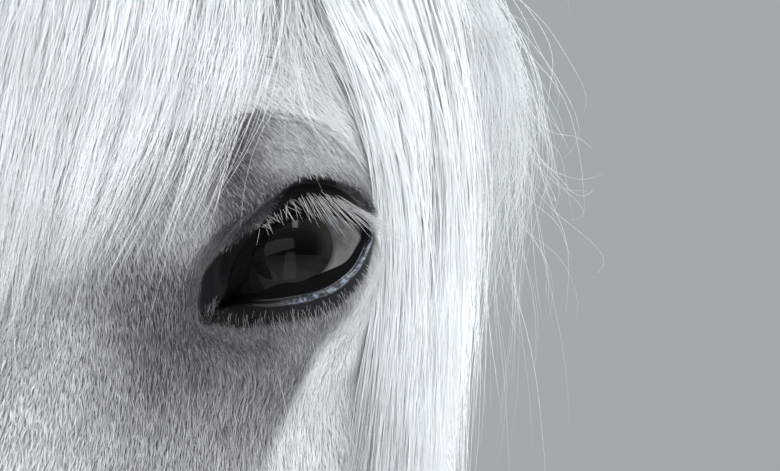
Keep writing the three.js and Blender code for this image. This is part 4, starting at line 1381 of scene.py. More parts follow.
def add_floor():
    """A pale round floor that fades into the backdrop towards its edge."""
    turn = full_turn(96)
    rings = np.stack([
        np.stack([r * np.cos(turn), r * np.sin(turn), np.full(96, z)], 1)
        for r, z in [(12.0, -0.004), (12.0, 0.0), (6.0, 0.0), (2.0, 0.0)]
    ])
    floor = new_object("floor", *closed_tube(rings), lambda points: points)
    s = Surface("floor", Roughness=0.85, IOR=1.3)
    place = s.node("ShaderNodeTexCoord").outputs["Object"]
    radius = s.node("ShaderNodeVectorMath", {0: place}, operation="LENGTH").outputs["Value"]
    fade = s.ranged(radius, 3.0, 11.5, 0, 1)
    glow = s.node("ShaderNodeEmission", {"Color": BACKDROP})
    grit = s.ranged(s.noise(180.0, detail=3), 0.3, 0.7, 0, 1)
    s.join(s.mix(grit, (0.5, 0.51, 0.52, 1), (0.53, 0.54, 0.55, 1)), "Base Color")
    both = s.node("ShaderNodeMixShader", {0: fade, 1: s.shader.outputs[0], 2: glow.outputs[0]})
    s.tree.links.new(both.outputs[0], s.tree.nodes["Material Output"].inputs["Surface"])
    floor.data.materials.append(s.material)


def add_light(
    name, place, at, wide, high, radiance, colour=(0.97, 0.985, 1.0), roll=0.0, glossy=True
):
    """A soft panel of light; its power is its radiance times pi times its area."""
    lamp = bpy.data.lights.new(name, "AREA")
    lamp.shape = "RECTANGLE"
    lamp.size, lamp.size_y, lamp.color = wide, high, colour
    lamp.energy = radiance * math.pi * wide * high
    holder = aimed(name, lamp, place, at, roll)
    holder.visible_camera = False
    holder.visible_glossy = glossy


def add_stage():
    """The backdrop, the floor and the panels of light."""
    add_surroundings()
    add_floor()
    head = seen_place(0, 0, 0)
    add_light("panel_above", seen_place(300, 1950, 950), head, 2.4, 1.7, 1.55, glossy=False)
    add_light("strip_above", seen_place(220, 2050, -40), head, 2.1, 0.4, 4.2, (0.85, 0.92, 1.0))
    add_light("panel_lock", seen_place(1600, -300, 1400), head, 1.8, 1.8, 2.8, glossy=False)
    add_light("panel_fill", seen_place(-1500, 600, 1300), head, 2.0, 2.0, 0.7, glossy=False)
    add_light("panel_left", seen_place(-950, 640, 2050), head, 3.3, 1.3, 0.75, roll=16)
    add_light("panel_low", seen_place(70, -950, 1300), head, 0.72, 2.3, 0.5, (0.88, 0.94, 1.0))
    add_light("panel_body", (0.3, 0.9, 4.2), (0, 0.2, 1.0), 4.0, 4.0, 1.5, glossy=False)
    add_light("panel_side", (4.2, -1.9, 2.2), (0, -0.2, 1.3), 4.0, 3.0, 1.3, glossy=False)
    add_light("panel_rear", (-3.8, 3.4, 2.4), (0, 0.1, 1.2), 4.0, 3.0, 1.0, glossy=False)
    bpy.context.scene.view_settings.view_transform = "Standard"


# ---- Ears ----
EAR_BASE, EAR_HEIGHT = head_point(20.0, -10.0, 52.0), 142.0
EAR_LEAN, EAR_SPLAY = math.radians(16), math.radians(20)
# share of the height, half width, half thickness
EAR_ROWS = [
    [-0.12, 33, 27], [0, 25, 19], [0.14, 27, 18], [0.34, 30, 17], [0.56, 27, 14],
    [0.78, 18, 9.5], [0.93, 7.5, 5.5], [0.985, 2.6, 2.4],
]


def ear_axes():
    """The ways up, forward and across of the left ear, each square to the others."""
    tip = unit(np.array([math.sin(EAR_SPLAY), -math.sin(EAR_LEAN), math.cos(EAR_LEAN)]))
    face = np.array([0.35, -1.0, 0.0])
    face = unit(face - (face @ tip) * tip)
    return tip, face, np.cross(face, tip)


def ear_points(share, wide, thick, turn):
    """Places on a left ear. Each section is an oval whose front half is dished in, so that it
    becomes a crescent with thin rims that curl forward."""
    tip, face, across = ear_axes()
    dish = ramp(0.05, 0.28, share)
    front = np.maximum(np.sin(turn), 0)
    rise = thick * (np.sin(turn) - dish * 1.72 * front + 0.34 * dish * np.cos(turn) ** 2)
    return (
        EAR_BASE + (EAR_HEIGHT * share)[..., None] * tip
        + (wide * np.cos(turn))[..., None] * across + rise[..., None] * face
    )


def add_ears(skin):
    """Both ears, as part of the skin: each runs from a flare inside the head to its tip."""
    rows = dense(EAR_ROWS, 6)
    turn = full_turn(44)
    share, wide, thick = (rows[:, k][:, None] + 0 * turn for k in range(3))
    rings = ear_points(share, wide, thick, turn)
    ears = [
        new_object("ear", *closed_tube(rings), straight),
        new_object("ear", *closed_tube((rings * [-1, 1, 1])[:, ::-1]), straight),
    ]
    with bpy.context.temp_override(active_object=skin, selected_editable_objects=[skin, *ears]):
        bpy.ops.object.join()


def add_ear_tufts(finish):
    """Longer soft hairs that stand in the hollows of the ears and along their rims."""
    rng = np.random.default_rng(203)
    tip, face, across = ear_axes()
    for side, word in SIDES:
        count = 5200
        share = chance(rng, 0.06, 0.86, count)
        turn = chance(rng, 0.0, np.pi, count)
        rows = dense(EAR_ROWS, 6)
        wide, thick = looked_up(rows, share)
        roots = ear_points(share, wide, thick, turn)
        inwards = -np.cos(turn)[:, None] * across
        lie = unit(0.75 * face + 0.9 * tip + 0.55 * inwards + rng.normal(0, 0.25, (count, 3)))
        mirror = np.array([side, 1, 1])
        normals = unit(face + 0.6 * inwards) * mirror
        shades = mixed(WHITE_HAIR, DARK_HAIR, 0.05 + 0.3 * rng.random(count))
        blades(
            f"ear_tufts_{word}", roots * mirror, normals, lie * mirror,
            chance(rng, 9, 22, count), chance(rng, 0.4, 0.7, count),
            chance(rng, 0.1, 0.5, count), shades, finish,
        )


# ---- Making the horse ----
FLESH = ["head", "muzzle", "neck", "trunk", "ear_left", "ear_right"] + [
    f"{leg}_{side}_{part}"
    for leg, parts in (
        ("foreleg", ("forearm", "cannon", "pastern")), ("hindleg", ("gaskin", "cannon", "pastern"))
    )
    for side in ("left", "right")
    for part in parts
]


def mesh_numbers(mesh):
    """Points, triangles and point normals of a mesh that is still on the straight horse."""
    mesh.calc_loop_triangles()
    triangles = read(mesh.loop_triangles, "vertices", np.int32).reshape(-1, 3)
    normals = read(mesh.vertex_normals, "vector").reshape(-1, 3).astype(float)
    return straight_points(mesh), triangles, normals


def face_means(mesh, numbers):
    """The mean over each face of numbers given at its vertices."""
    corners = read(mesh.loops, "vertex_index", np.int32)
    first = read(mesh.polygons, "loop_start", np.int32)
    return np.add.reduceat(numbers[corners], first) / np.diff(np.append(first, len(corners)))


def make_flesh():
    """The skin with its lids, coloured and bent; gives it and its numbers while straight."""
    skin = make_skin()
    add_ears(skin)
    add_eye_skin(skin)
    points, triangles, normals = mesh_numbers(skin.data)
    across = read(skin.data.attributes["across"].data, "value").astype(float)
    on_rim = 1 - ramp(1.0, 1.2, across)
    write_colours(skin.data, "shade", skin_shades(points, across))
    write(skin.data, "bare", "FLOAT", "value", np.maximum(bareness(points), on_rim))
    turn, _ = around_eye(*eye_coordinates(points)[:2])
    lower = ramp(0.05, 0.4, -np.sin(turn - 0.42))
    for finish in (
        skin_material(), lid_material("lid_wet", 0.13, 1.75), lid_material("lid_dark", 0.5, 1.12)
    ):
        skin.data.materials.append(finish)
    rim = face_means(skin.data, across)
    wet = (rim > 0.6) & (face_means(skin.data, lower) > 0.3)
    slots = np.where(rim < 1.03, np.where(wet, 1, 2), 0)
    skin.data.polygons.foreach_set("material_index", slots.astype(np.int32))
    move_points(skin.data, to_metres(points))
    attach(skin, "root")
    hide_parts(*FLESH)
    return skin, points, triangles, normals


def make_eyes():
    """Both eyes, each in the place of its plain ball."""
    finish = eye_material()
    for side, word in SIDES:
        ball = eyeball(f"eyeball_{word}", side)
        ball.data.materials.append(finish)
        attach(ball, "root")
        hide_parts(f"eye_{word}")


# ---- The coat and the long hair ----


def chance(rng, low, high, count):
    """Values drawn evenly between two ends."""
    return low + (high - low) * rng.random(count)


def hair_shades(p, rng):
    """Each hair is white or dark by the greyness of the coat at its root, some wholly so."""
    grey = greyness(p)
    uneven = np.clip(grey + 0.35 * (rng.random(len(p)) - 0.5) * np.minimum(grey * 4, 1), 0, 1)
    share = uneven**0.8
    tone = chance(rng, 0.93, 1.03, len(p))[:, None]
    return mixed(WHITE_HAIR, DARK_HAIR, share) * tone


def triangle_middles():
    """The middle of each triangle of the skin: the mean of its corners."""
    return skin_points[skin_triangles].mean(1)


ASTRAY = 0.16


def coat_piece(name, region, density, length, width, lift, seed, finish):
    """Tufts over one region of the skin, lying with the coat and a little astray."""
    rng = np.random.default_rng(seed)
    picked = skin_triangles[region(triangle_middles())]
    roots, normals = scatter(skin_points, picked, skin_normals, density, rng)
    kept = rng.random(len(roots)) > np.maximum(bareness(roots), in_hollows(roots)) * 1.3
    roots, normals = roots[kept], normals[kept]
    lie = lie_of_coat(roots, normals)
    astray = rng.normal(0, ASTRAY, len(roots))[:, None]
    lie = unit(lie + astray * np.cross(normals, lie))
    count = len(roots)
    long = length(roots) * chance(rng, 0.7, 1.25, count)
    blades(
        name, roots, normals, lie, long, width(roots) * chance(rng, 0.75, 1.2, count),
        chance(rng, *lift, count), hair_shades(roots, rng), finish,
    )


def eye_distance(p):
    """How far points lie from the nearer eye."""
    return np.linalg.norm(on_left(p) - EYE_CENTRE, axis=1)


def on_head_skin(p):
    """Whether points lie before the line between head and neck."""
    return before_jaw(p) < HEAD_FROM


# Fine hairs give way to tufts between two distances from the eye; the coat ends at CORONET
FINE_FROM, FINE_TO = 100.0, 132.0
CORONET = 110.0


def add_coat(finish):
    """The coat in pieces of a region each: short fine hairs within FINE_TO of the eyes, and
    beyond them tufts that stand for many hairs."""
    def thick_near(most, least):
        """From most to least hairs to a square millimetre by a ramp of the distance."""
        return lambda p: least + (most - least) * (1 - ramp(FINE_FROM, FINE_TO, eye_distance(p)))

    def face(side, low, high):
        """Within FINE_TO of one eye, between two heights from its middle."""
        return lambda p: (
            on_head_skin(p) & (p[:, 0] * side > 8) & (eye_distance(p) < FINE_TO)
            & (p[:, 2] > EYE_CENTRE[2] + low) & (p[:, 2] <= EYE_CENTRE[2] + high)
        )

    def small(p):
        """Hair lengths, which grow by a ramp away from the lids."""
        return 2.4 + 3.4 * ramp(3, 50, around_eye(*eye_coordinates(p)[:2])[1])

    def fine(p):
        """Hair widths, which grow in the same way."""
        return 0.3 + 0.1 * ramp(10, 60, around_eye(*eye_coordinates(p)[:2])[1])

    coat_piece("coat_face_left_low", face(1, -200, 0), thick_near(2.35, 0.29), small, fine,
               (0.1, 0.35), 101, finish)
    coat_piece("coat_face_left_high", face(1, 0, 200), thick_near(2.35, 0.29), small, fine,
               (0.1, 0.35), 105, finish)
    coat_piece("coat_face_right", face(-1, -200, 200), thick_near(0.55, 0.22),
               lambda p: 1.25 * small(p), lambda p: 1.8 * fine(p), (0.1, 0.35), 102, finish)

    def on_face(low, high):
        """The rest of the head between two places along the face."""
        def region(p):
            """Whether points lie there."""
            along = head_coordinates(p)[0]
            beyond = eye_distance(p) > FINE_FROM
            return on_head_skin(p) & beyond & (along > low) & (along <= high)
        return region

    def evenly(value):
        """The same value everywhere."""
        return lambda p: np.full(len(p), value)

    coat_piece("coat_head", on_face(-999, NOSE_FROM),
               lambda p: 0.17 * ramp(FINE_FROM, FINE_TO, eye_distance(p)),
               evenly(8.0), evenly(0.85), (0.1, 0.35), 103, finish)
    coat_piece("coat_nose", on_face(NOSE_FROM, NOSE_TO), evenly(0.3),
               lambda p: 6.5 - 3 * ramp(NOSE_FROM, NOSE_TO, head_coordinates(p)[0]),
               evenly(0.55), (0.1, 0.3), 106, finish)
    coat_piece("coat_muzzle", on_face(NOSE_TO, 999), evenly(0.27), evenly(2.5), evenly(0.45),
               (0.08, 0.25), 107, finish)
    seed = 110
    for side, word in SIDES:
        for part, low, high in (("front", -3000, -150), ("back", -150, 3000)):
            coat_piece(
                f"coat_{part}_{word}",
                lambda p: (
                    ~on_head_skin(p) & (p[:, 2] > CORONET) & (p[:, 0] * side >= 0)
                    & (p[:, 1] > low) & (p[:, 1] <= high)
                ),
                evenly(0.026), lambda p: 12 + 6 * ramp(700, 1000, p[:, 2]),
                lambda p: 1.2 + 0.5 * ramp(700, 1000, p[:, 2]), (0.06, 0.2), seed, finish,
            )
            seed += 1


# Where the upper lashes point: the turn of the root about the look, and how far the tip lies
# to the right and up of it as seen, in millimetres
LASHES = np.array([
    [0.3, 8, -4.5], [0.52, 12, -7], [0.79, 16, -10], [1.16, 10, -11.5], [1.5, 5, -10],
    [1.92, 1.6, -5], [2.66, 0.7, -1.4],
])
SEEN_ACROSS = math.cos(math.radians(15))
LASH_FIRST, LASH_LAST, LASH_WIDTH = 0.32, 2.66, 0.15


def add_lashes(finish):
    """Pale lashes that stand out of the upper lid, bow over and hang before the eye."""
    rng = np.random.default_rng(201)
    count, steps = 150, 10
    turn = LASH_FIRST + (LASH_LAST - LASH_FIRST) * rng.random(count) ** 1.35
    turn = turn + rng.normal(0, 0.04, count)
    reach = np.interp(turn, TURNS, LASH_REACH) + rng.normal(0, 0.35, count)
    height = np.interp(turn, TURNS, LASH_HEIGHT)
    seen_x, seen_y = (np.interp(turn, LASHES[:, 0], LASHES[:, k]) for k in (1, 2))
    scale = chance(rng, 0.7, 1.15, count)
    bow = 3.2 * np.clip(np.hypot(seen_x, seen_y) / 8, 0.25, 1) * chance(rng, 0.7, 1.2, count)
    seen_x = seen_x * scale + rng.normal(0, 1.5, count)
    seen_y = seen_y * scale + rng.normal(0, 1.4, count)
    t = np.linspace(0, 1, steps)[None, :]
    du, dv = (seen_x[:, None] / SEEN_ACROSS) * t**1.25, seen_y[:, None] * t**1.5
    u = (reach * np.cos(turn))[:, None] + du - 0.1 * seen_x[:, None] * np.sin(np.pi * t)
    v = (reach * np.sin(turn) + 0.2)[:, None] + dv
    w = height[:, None] - 0.4 + bow[:, None] * (1.6 * t - 0.75 * t**2)
    for side, word in SIDES:
        paths = eye_place(u, v, w) * [side, 1, 1]
        width = LASH_WIDTH * (1 - 0.7 * t) * np.ones((count, 1))
        tone = chance(rng, 0.7, 0.98, count)[:, None, None] * (0.5 + 0.5 * t)[..., None]
        ribbons(f"lashes_{word}", paths, width, EYE_W * [side, 1, 1], WHITE_HAIR * tone,
                finish)


def add_lid_hairs(finish):
    """Sparse short pale hairs on the bare skin of the lower lid and inner corner."""
    rng = np.random.default_rng(202)
    u, v, w = eye_coordinates(triangle_middles())
    turn, out = around_eye(u, v)
    under = (out > 0.8) & (out < 14) & (w > -20) & (np.sin(turn - 0.35) < -0.1)
    roots, normals = scatter(
        skin_points, skin_triangles[under], skin_normals, lambda p: np.full(len(p), 0.6), rng
    )
    lie = lie_of_coat(roots, normals)
    lie = unit(lie + rng.normal(0, 0.22, len(roots))[:, None] * np.cross(normals, lie))
    count = len(roots)
    tone = chance(rng, 0.3, 0.7, count)[:, None]
    blades("lid_hairs", roots, normals, lie, chance(rng, 2.6, 6.2, count),
           chance(rng, 0.07, 0.11, count), chance(rng, 0.2, 0.5, count),
           WHITE_HAIR * tone, finish)


def pushed_out(paths, clearance):
    """Moves points of long hair that lie nearer to the body than `clearance` out of it."""
    shape = paths.shape
    points = paths.reshape(-1, 3)
    gap = np.broadcast_to(clearance, shape[:2]).reshape(-1)
    for _ in range(3):
        level = body_level(points)
        near = level < gap + 30
        slope = gradient(body_level, points[near], 1.5)
        steep = np.maximum((slope**2).sum(1), 0.3)
        lack = np.maximum(gap[near] - level[near], 0)
        points[near] = points[near] + (np.minimum(lack, 60) / steep)[:, None] * slope
    return points.reshape(shape)


def smooth_paths(paths, rounds):
    """Each inner point of a strand at half itself and a quarter of each neighbour."""
    for _ in range(rounds):
        inner = 0.25 * paths[:, :-2] + 0.5 * paths[:, 1:-1] + 0.25 * paths[:, 2:]
        paths = np.concatenate([paths[:, :1], inner, paths[:, -1:]], 1)
    return paths


def lock_paths(guides, place, reach, steps):
    """Strands between guide curves: `place` says between which guides each runs and `reach`
    how much of their length it covers. Guides have the shape (guides, stations, 3)."""
    fine = np.stack([dense(g, 8) for g in guides])
    i = np.minimum(place.astype(int), len(guides) - 2)
    f = (place - i)[:, None, None]
    at = reach[:, None] * np.linspace(0, 1, steps) * (fine.shape[1] - 1)
    k = np.minimum(at.astype(int), fine.shape[1] - 2)
    g = (at - k)[..., None]
    a = fine[i[:, None], k] * (1 - g) + fine[i[:, None], k + 1] * g
    b = fine[i[:, None] + 1, k] * (1 - g) + fine[i[:, None] + 1, k + 1] * g
    return a * (1 - f) + b * f


def wandering(rng, count, steps, size):
    """Slow sideways drifts for strands: each a sum of a few waves that grows from the root."""
    t = np.linspace(0, 1, steps)
    total = np.zeros((count, steps, 3))
    for waves in (0.6, 1.3, 2.6):
        phase, much = rng.random((count, 1, 3)) * 2 * np.pi, rng.normal(0, 1, (count, 1, 3))
        total += much / waves * np.sin(2 * np.pi * waves * t[None, :, None] + phase)
    total -= total[:, :1]
    return size * total * t[None, :, None]


def clumped(paths, rng, groups, pull):
    """Draws the ends of strands towards those of a few among them, so they gather in locks."""
    leaders = paths[rng.choice(len(paths), groups, replace=False)]
    mids = paths[:, paths.shape[1] // 2]
    lead_mids = leaders[:, paths.shape[1] // 2]
    nearest = np.concatenate([
        ((part[:, None] - lead_mids[None]) ** 2).sum(2).argmin(1)
        for part in np.array_split(mids, max(len(mids) // 500, 1))
    ])
    t = np.linspace(0, 1, paths.shape[1]) ** 0.8
    return paths + (leaders[nearest] - paths) * (pull[:, None] * t)[..., None]


def seen_depth(right, up):
    """How far towards the camera the head's surface stands over places in the view, or where
    the sight line passes the head most closely."""
    depth = np.linspace(140, -260, 161)
    places = (
        VIEW_AIM + right[:, None, None] * VIEW_RIGHT + up[:, None, None] * UP
        + depth[None, :, None] * VIEW_BACK
    )
    level = body_level(places.reshape(-1, 3)).reshape(len(right), -1)
    hit = level < 0
    first = np.where(hit.any(1), hit.argmax(1), level.argmin(1))
    return depth[first]


def view_guides(rows, beside=False):
    """Guide curves from rows of places in the view (right and up of the aim) and how far each
    stands off the head. Those beside the head hang free where it turns away behind them."""
    rows = np.array(rows, float)
    flat = rows.reshape(-1, 3)
    depth = seen_depth(flat[:, 0], flat[:, 1])
    if beside:
        depth = np.maximum(depth, np.interp(flat[:, 1], *BESIDE))
    depth = depth + flat[:, 2]
    points = (
        VIEW_AIM + flat[:, :1] * VIEW_RIGHT + flat[:, 1:2] * UP
        + depth[:, None] * VIEW_BACK
    )
    return points.reshape(rows.shape)


# The forelock over the face and the lock that falls behind the eye, each as guide curves from
# the poll to their ends: right and up of the aim as seen, and how far off the head
FORELOCK_GUIDES = [
    [[-130, 182, 4], [-160, 106, 7], [-176, 40, 8], [-186, -14, 6], [-196, -66, 3]],
    [[-118, 182, 4], [-140, 100, 8], [-150, 40, 10], [-158, -14, 8], [-168, -66, 3]],
    [[-98, 182, 4], [-106, 110, 9], [-113, 65, 11], [-119, 18, 8], [-128, -46, 2]],
    [[-88, 182, 4], [-88, 120, 10], [-90, 75, 11], [-97, 26, 8], [-114, -34, 3]],
    [[-80, 182, 4], [-68, 125, 10], [-67, 75, 11], [-76, 30, 8], [-99, -22, 4]],
    [[-72, 182, 4], [-50, 130, 10], [-45, 75, 10], [-53, 40, 8], [-78, -14, 5]],
    [[-70, 184, 4], [-43, 132, 8], [-35, 94, 8], [-34, 66, 7], [-42, 36, 6]],
]
SIDE_GUIDES = [
    [[-74, 182, 4], [-38, 125, 9], [-26, 80, 9], [-12, 50, 7], [-5, 20, 6], [-4, -12, 6],
     [-8, -50, 6], [-14, -105, 6]],
    [[-68, 184, 4], [-28, 135, 10], [-11, 80, 16], [3, 44, 18], [6, 8, 20], [6, -30, 20],
     [3, -70, 20], [0, -125, 18]],
    [[-64, 186, 4], [-16, 145, 10], [6, 84, 26], [15, 44, 26], [16, 6, 26], [13, -35, 24],
     [10, -80, 22], [7, -135, 20]],
    [[-60, 188, 4], [-4, 150, 10], [19, 92, 6], [26, 48, 4], [24, 10, 2], [19, -26, 2],
     [16, -66, 2], [12, -120, 2]],
]
# Heights in the view and the least depth there of guides that hang beside the head
BESIDE = [-125, 60, 130, 182], [-70, -88, -125, -180]
# Stray hairs off the edge of the lock behind the eye, far out from it, and across the brow
STRAY_GUIDES = [
    [[2, 120, 2], [20, 78, 6], [27, 48, 8], [26, 18, 8], [20, -14, 8], [15, -52, 8]],
    [[8, 124, -4], [26, 80, 2], [35, 52, 6], [36, 24, 8], [27, -8, 8], [20, -60, 8]],
    [[12, 128, -10], [32, 86, -2], [43, 58, 2], [47, 28, 4], [40, 0, 6], [30, -56, 6]],
    [[14, 128, -10], [30, 72, -2], [38, 34, 2], [34, -6, 4], [37, -40, 6], [36, -90, 6]],
]
FAR_GUIDES = [
    [[14, 128, 0], [22, 66, 0], [34, 30, 0], [41, 2, 0], [57, -14, 0], [64, -28, 0], [59, -35, 0],
     [48, -34, 0], [41, -27, 0], [38, -14, 0]],
    [[10, 128, 0], [24, 84, 0], [33, 62, 0], [43, 48, 0], [52, 37, 0], [59, 33, 0], [64, 35, 0],
     [66, 37, 0], [67, 36, 0], [68, 34, 0]],
    [[6, 128, 0], [20, 70, 0], [27, 34, 0], [30, 0, 0], [35, -22, 0], [40, -34, 0], [43, -46, 0],
     [42, -58, 0], [43, -70, 0], [42, -90, 0]],
]
BROW_GUIDES = [
    [[-62, 182, 5], [-60, 120, 6], [-47, 70, 6], [-53, 38, 5], [-62, 10, 5], [-78, -20, 5]],
    [[-62, 182, 5], [-52, 120, 6], [-40, 72, 6], [-44, 44, 5], [-55, 18, 5], [-72, -14, 5]],
]
GAP_GUIDES = [
    [[-70, 182, 5], [-48, 126, 6], [-34, 80, 6], [-32, 56, 5], [-27, 36, 5], [-16, 17, 5]],
    [[-69, 182, 5], [-44, 126, 6], [-29, 84, 6], [-21, 58, 5], [-10, 36, 5], [1, 16, 6]],
    [[-68, 182, 5], [-40, 132, 6], [-23, 90, 6], [-11, 62, 5], [1, 38, 5], [8, 10, 6]],
]


def strands(name, paths, width, facing, rng, finish, root=1.0, end=1.0):
    """Long hairs as ribbons. Each keeps its width at first and then narrows to the tip by a
    power, and its shade runs from `root` to `end`; both are uneven from hair to hair."""
    count, steps, _ = paths.shape
    shape = np.minimum(1, 1.6 * (1 - np.linspace(0, 1, steps))) ** 0.7
    widths = width * chance(rng, 0.7, 1.2, count)[:, None] * shape
    tone = chance(rng, 0.93, 1.03, count)[:, None, None]
    shades = WHITE_HAIR * tone * np.linspace(root, end, steps)[:, None]
    return ribbons(name, paths, widths, facing, shades, finish)


def off_face(p):
    """The way straight out from the head at places near it, its sections taken as round."""
    out = (p - POLL) @ FACE_OUT
    return unit(p * [1.0, 0, 0] + (out + 70)[..., None] * FACE_OUT)


def add_forelock(finish):
    """The forelock, thick over the middle of the forehead and thinner to both sides, and the
    lock that falls behind the left eye, a bundle with depth of its own."""
    rng = np.random.default_rng(301)
    steps = 15
    front = view_guides(FORELOCK_GUIDES)
    count = 4600
    place = (len(front) - 1.001) * rng.beta(1.7, 2.3, count)
    paths = lock_paths(front, place, chance(rng, 0.45, 1.0, count), steps)
    paths = paths + wandering(rng, count, steps, 3.6)
    paths = clumped(paths, rng, 150, chance(rng, 0.1, 0.6, count))
    layer = chance(rng, 0.5, 6, count)[:, None] * np.linspace(1, 0.6, steps)
    paths = smooth_paths(pushed_out(paths, layer), 2)
    facing = unit(VIEW_BACK + 0.8 * off_face(paths))
    # Paler ends: partly the hair's own colour, partly painted light on the less lit lower part
    piece = strands("forelock_hair", paths, 0.28, facing, rng, finish, 0.9, 1.08)
    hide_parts("forelock")
    side = view_guides(SIDE_GUIDES, True)
    count = 5600
    steps = 17
    place = rng.random(count) ** 0.9 * (len(side) - 1.001)
    paths = lock_paths(side, place, chance(rng, 0.7, 1.0, count), steps)
    t = np.linspace(0, 1, steps)[None, :, None]
    deep = chance(rng, -6, 6, count)[:, None, None] * np.minimum(t * 3, 1)
    paths = paths + wandering(rng, count, steps, 2.6) + deep * VIEW_BACK
    paths = clumped(paths, rng, 170, chance(rng, 0.1, 0.5, count))
    layer = chance(rng, 0.5, 14, count) * (0.25 + 0.75 * np.minimum(place, 1))
    paths = smooth_paths(pushed_out(paths, layer[:, None] * np.linspace(0.8, 1, steps)), 2)
    facing = unit(VIEW_BACK + 0.8 * VIEW_RIGHT)
    # Paler ends: partly the hair's own colour, partly painted light on the less lit lower part
    strands("side_lock", paths, 0.47, facing, rng, finish, 0.86, 1.1)


def add_poll_hair(finish):
    """Short strands that run from the crest over the poll, between the ears, and join the
    roots of the forelock to those of the mane."""
    rng = np.random.default_rng(305)
    count, steps = 700, 13
    stations = np.array([[0.0, -972, 1776], [0.0, -1010, 1784], head_point(0.0, -24.0, 0.0),
                         head_point(50.0, -14.0, 0.0), head_point(110.0, -10.0, 0.0)])
    start, end = chance(rng, 0.0, 1.6, count), chance(rng, 2.6, 4.0, count)
    station = start[:, None] + (end - start)[:, None] * np.linspace(0, 1, steps)
    paths = np.stack([np.interp(station, np.arange(5), stations[:, k]) for k in range(3)], -1)
    beside = chance(rng, -30, 30, count)[:, None]
    paths[..., 0] += beside * (1 + 0.12 * station)
    paths = clumped(paths + wandering(rng, count, steps, 3.0), rng, 40,
                    chance(rng, 0.1, 0.6, count))
    layer = chance(rng, 2, 9, count)[:, None] * np.minimum(np.linspace(0, 1, steps) * 4, 1)
    paths = smooth_paths(pushed_out(paths, layer), 2)
    strands("poll_hair", paths, 1.0, unit(np.array([0.0, -0.6, 0.8])), rng, finish)


def curl(rng, count, steps, turns, radius):
    """Loops for stray hairs: circles in the plane of the view that widen along each hair."""
    t = np.linspace(0, 1, steps)[None, :]
    angle = rng.random(count)[:, None] * 2 * np.pi + 2 * np.pi * turns[:, None] * t
    size = radius[:, None] * t**1.2
    across, up = size * np.cos(angle), size * np.sin(angle)
    return across[..., None] * VIEW_RIGHT + up[..., None] * UP


# Stray hairs: guides, whether these hang beside the head, how many, the power of their spread
# over the guides, how much of them they cover, drift, width and the size of their loops
STRAYS = (
    ("stray_curls", STRAY_GUIDES, True, 520, 1.7, (0.35, 1.0), 3.4, 0.21, (0.8, 6.0)),
    ("stray_far", FAR_GUIDES, True, 10, 1.0, (0.6, 1.0), 2.5, 0.19, (0, 1.5)),
    ("brow_strays", BROW_GUIDES, False, 80, 1.0, (0.4, 1.0), 2.6, 0.2, (0, 0)),
    ("gap_hairs", GAP_GUIDES, False, 420, 1.0, (0.35, 0.95), 2.6, 0.24, (0, 0)),
)


def add_strays(finish):
    """Fine single hairs between guide curves, each drifting and curling its own way: curled
    ones that stand off the lock behind the eye, a few far out from it, and straight ones that
    cross the brow and the gap behind it."""
    rng = np.random.default_rng(302)
    steps = 26
    for name, rows, beside, count, power, covered, drift, width, loops in STRAYS:
        guides = view_guides(rows, beside)
        place = rng.random(count) ** power * (len(guides) - 1.001)
        paths = lock_paths(guides, place, chance(rng, *covered, count), steps)
        paths = paths + wandering(rng, count, steps, drift)
        turns = chance(rng, 0.4, 1.6, count) * rng.choice([-1, 1], count)
        paths = paths + curl(rng, count, steps, turns, chance(rng, *loops, count))
        clear = chance(rng, 1.5, 5, count)[:, None]
        paths = smooth_paths(pushed_out(paths, clear), 1)
        strands(name, paths, width, VIEW_BACK, rng, finish)


def add_whiskers(finish):
    """Long single hairs under the eyes and on the lips and chin, each a bowed line."""
    rng = np.random.default_rng(304)
    u, v, w = eye_coordinates(skin_points)
    turn, out = around_eye(u, v)
    along, rise, _ = head_coordinates(skin_points)
    under = (out > 16) & (out < 42) & (np.abs(turn + 1.5) < 0.9) & (w > -60)
    lips = (along > 520) & (rise < -30)
    for name, where, count, least, most in (
        ("whiskers_eye", under, 13, 16, 36), ("whiskers_muzzle", lips, 190, 14, 40),
    ):
        chosen = rng.choice(np.flatnonzero(where), count, replace=False)
        roots, normals = skin_points[chosen], skin_normals[chosen]
        lie = unit(lie_of_coat(roots, normals) + 0.9 * normals + rng.normal(0, 0.25, (count, 3)))
        t = np.linspace(0, 1, 10)[None, :, None]
        long = chance(rng, least, most, count)[:, None, None]
        drop = -0.35 * UP * long * t**2
        paths = roots[:, None] + long * t * lie[:, None] + drop
        strands(name, paths, 0.15, VIEW_BACK, rng, finish, 0.7, 0.7)


# Crest of the mane: y, z and how far the hair hangs
MANE = dense([
    [-380, 1500, 60], [-470, 1548, 215], [-560, 1594, 300], [-660, 1656, 335],
    [-760, 1712, 350], [-860, 1762, 335], [-940, 1790, 290], [-1004, 1800, 205],
    [-1036, 1792, 170],
])


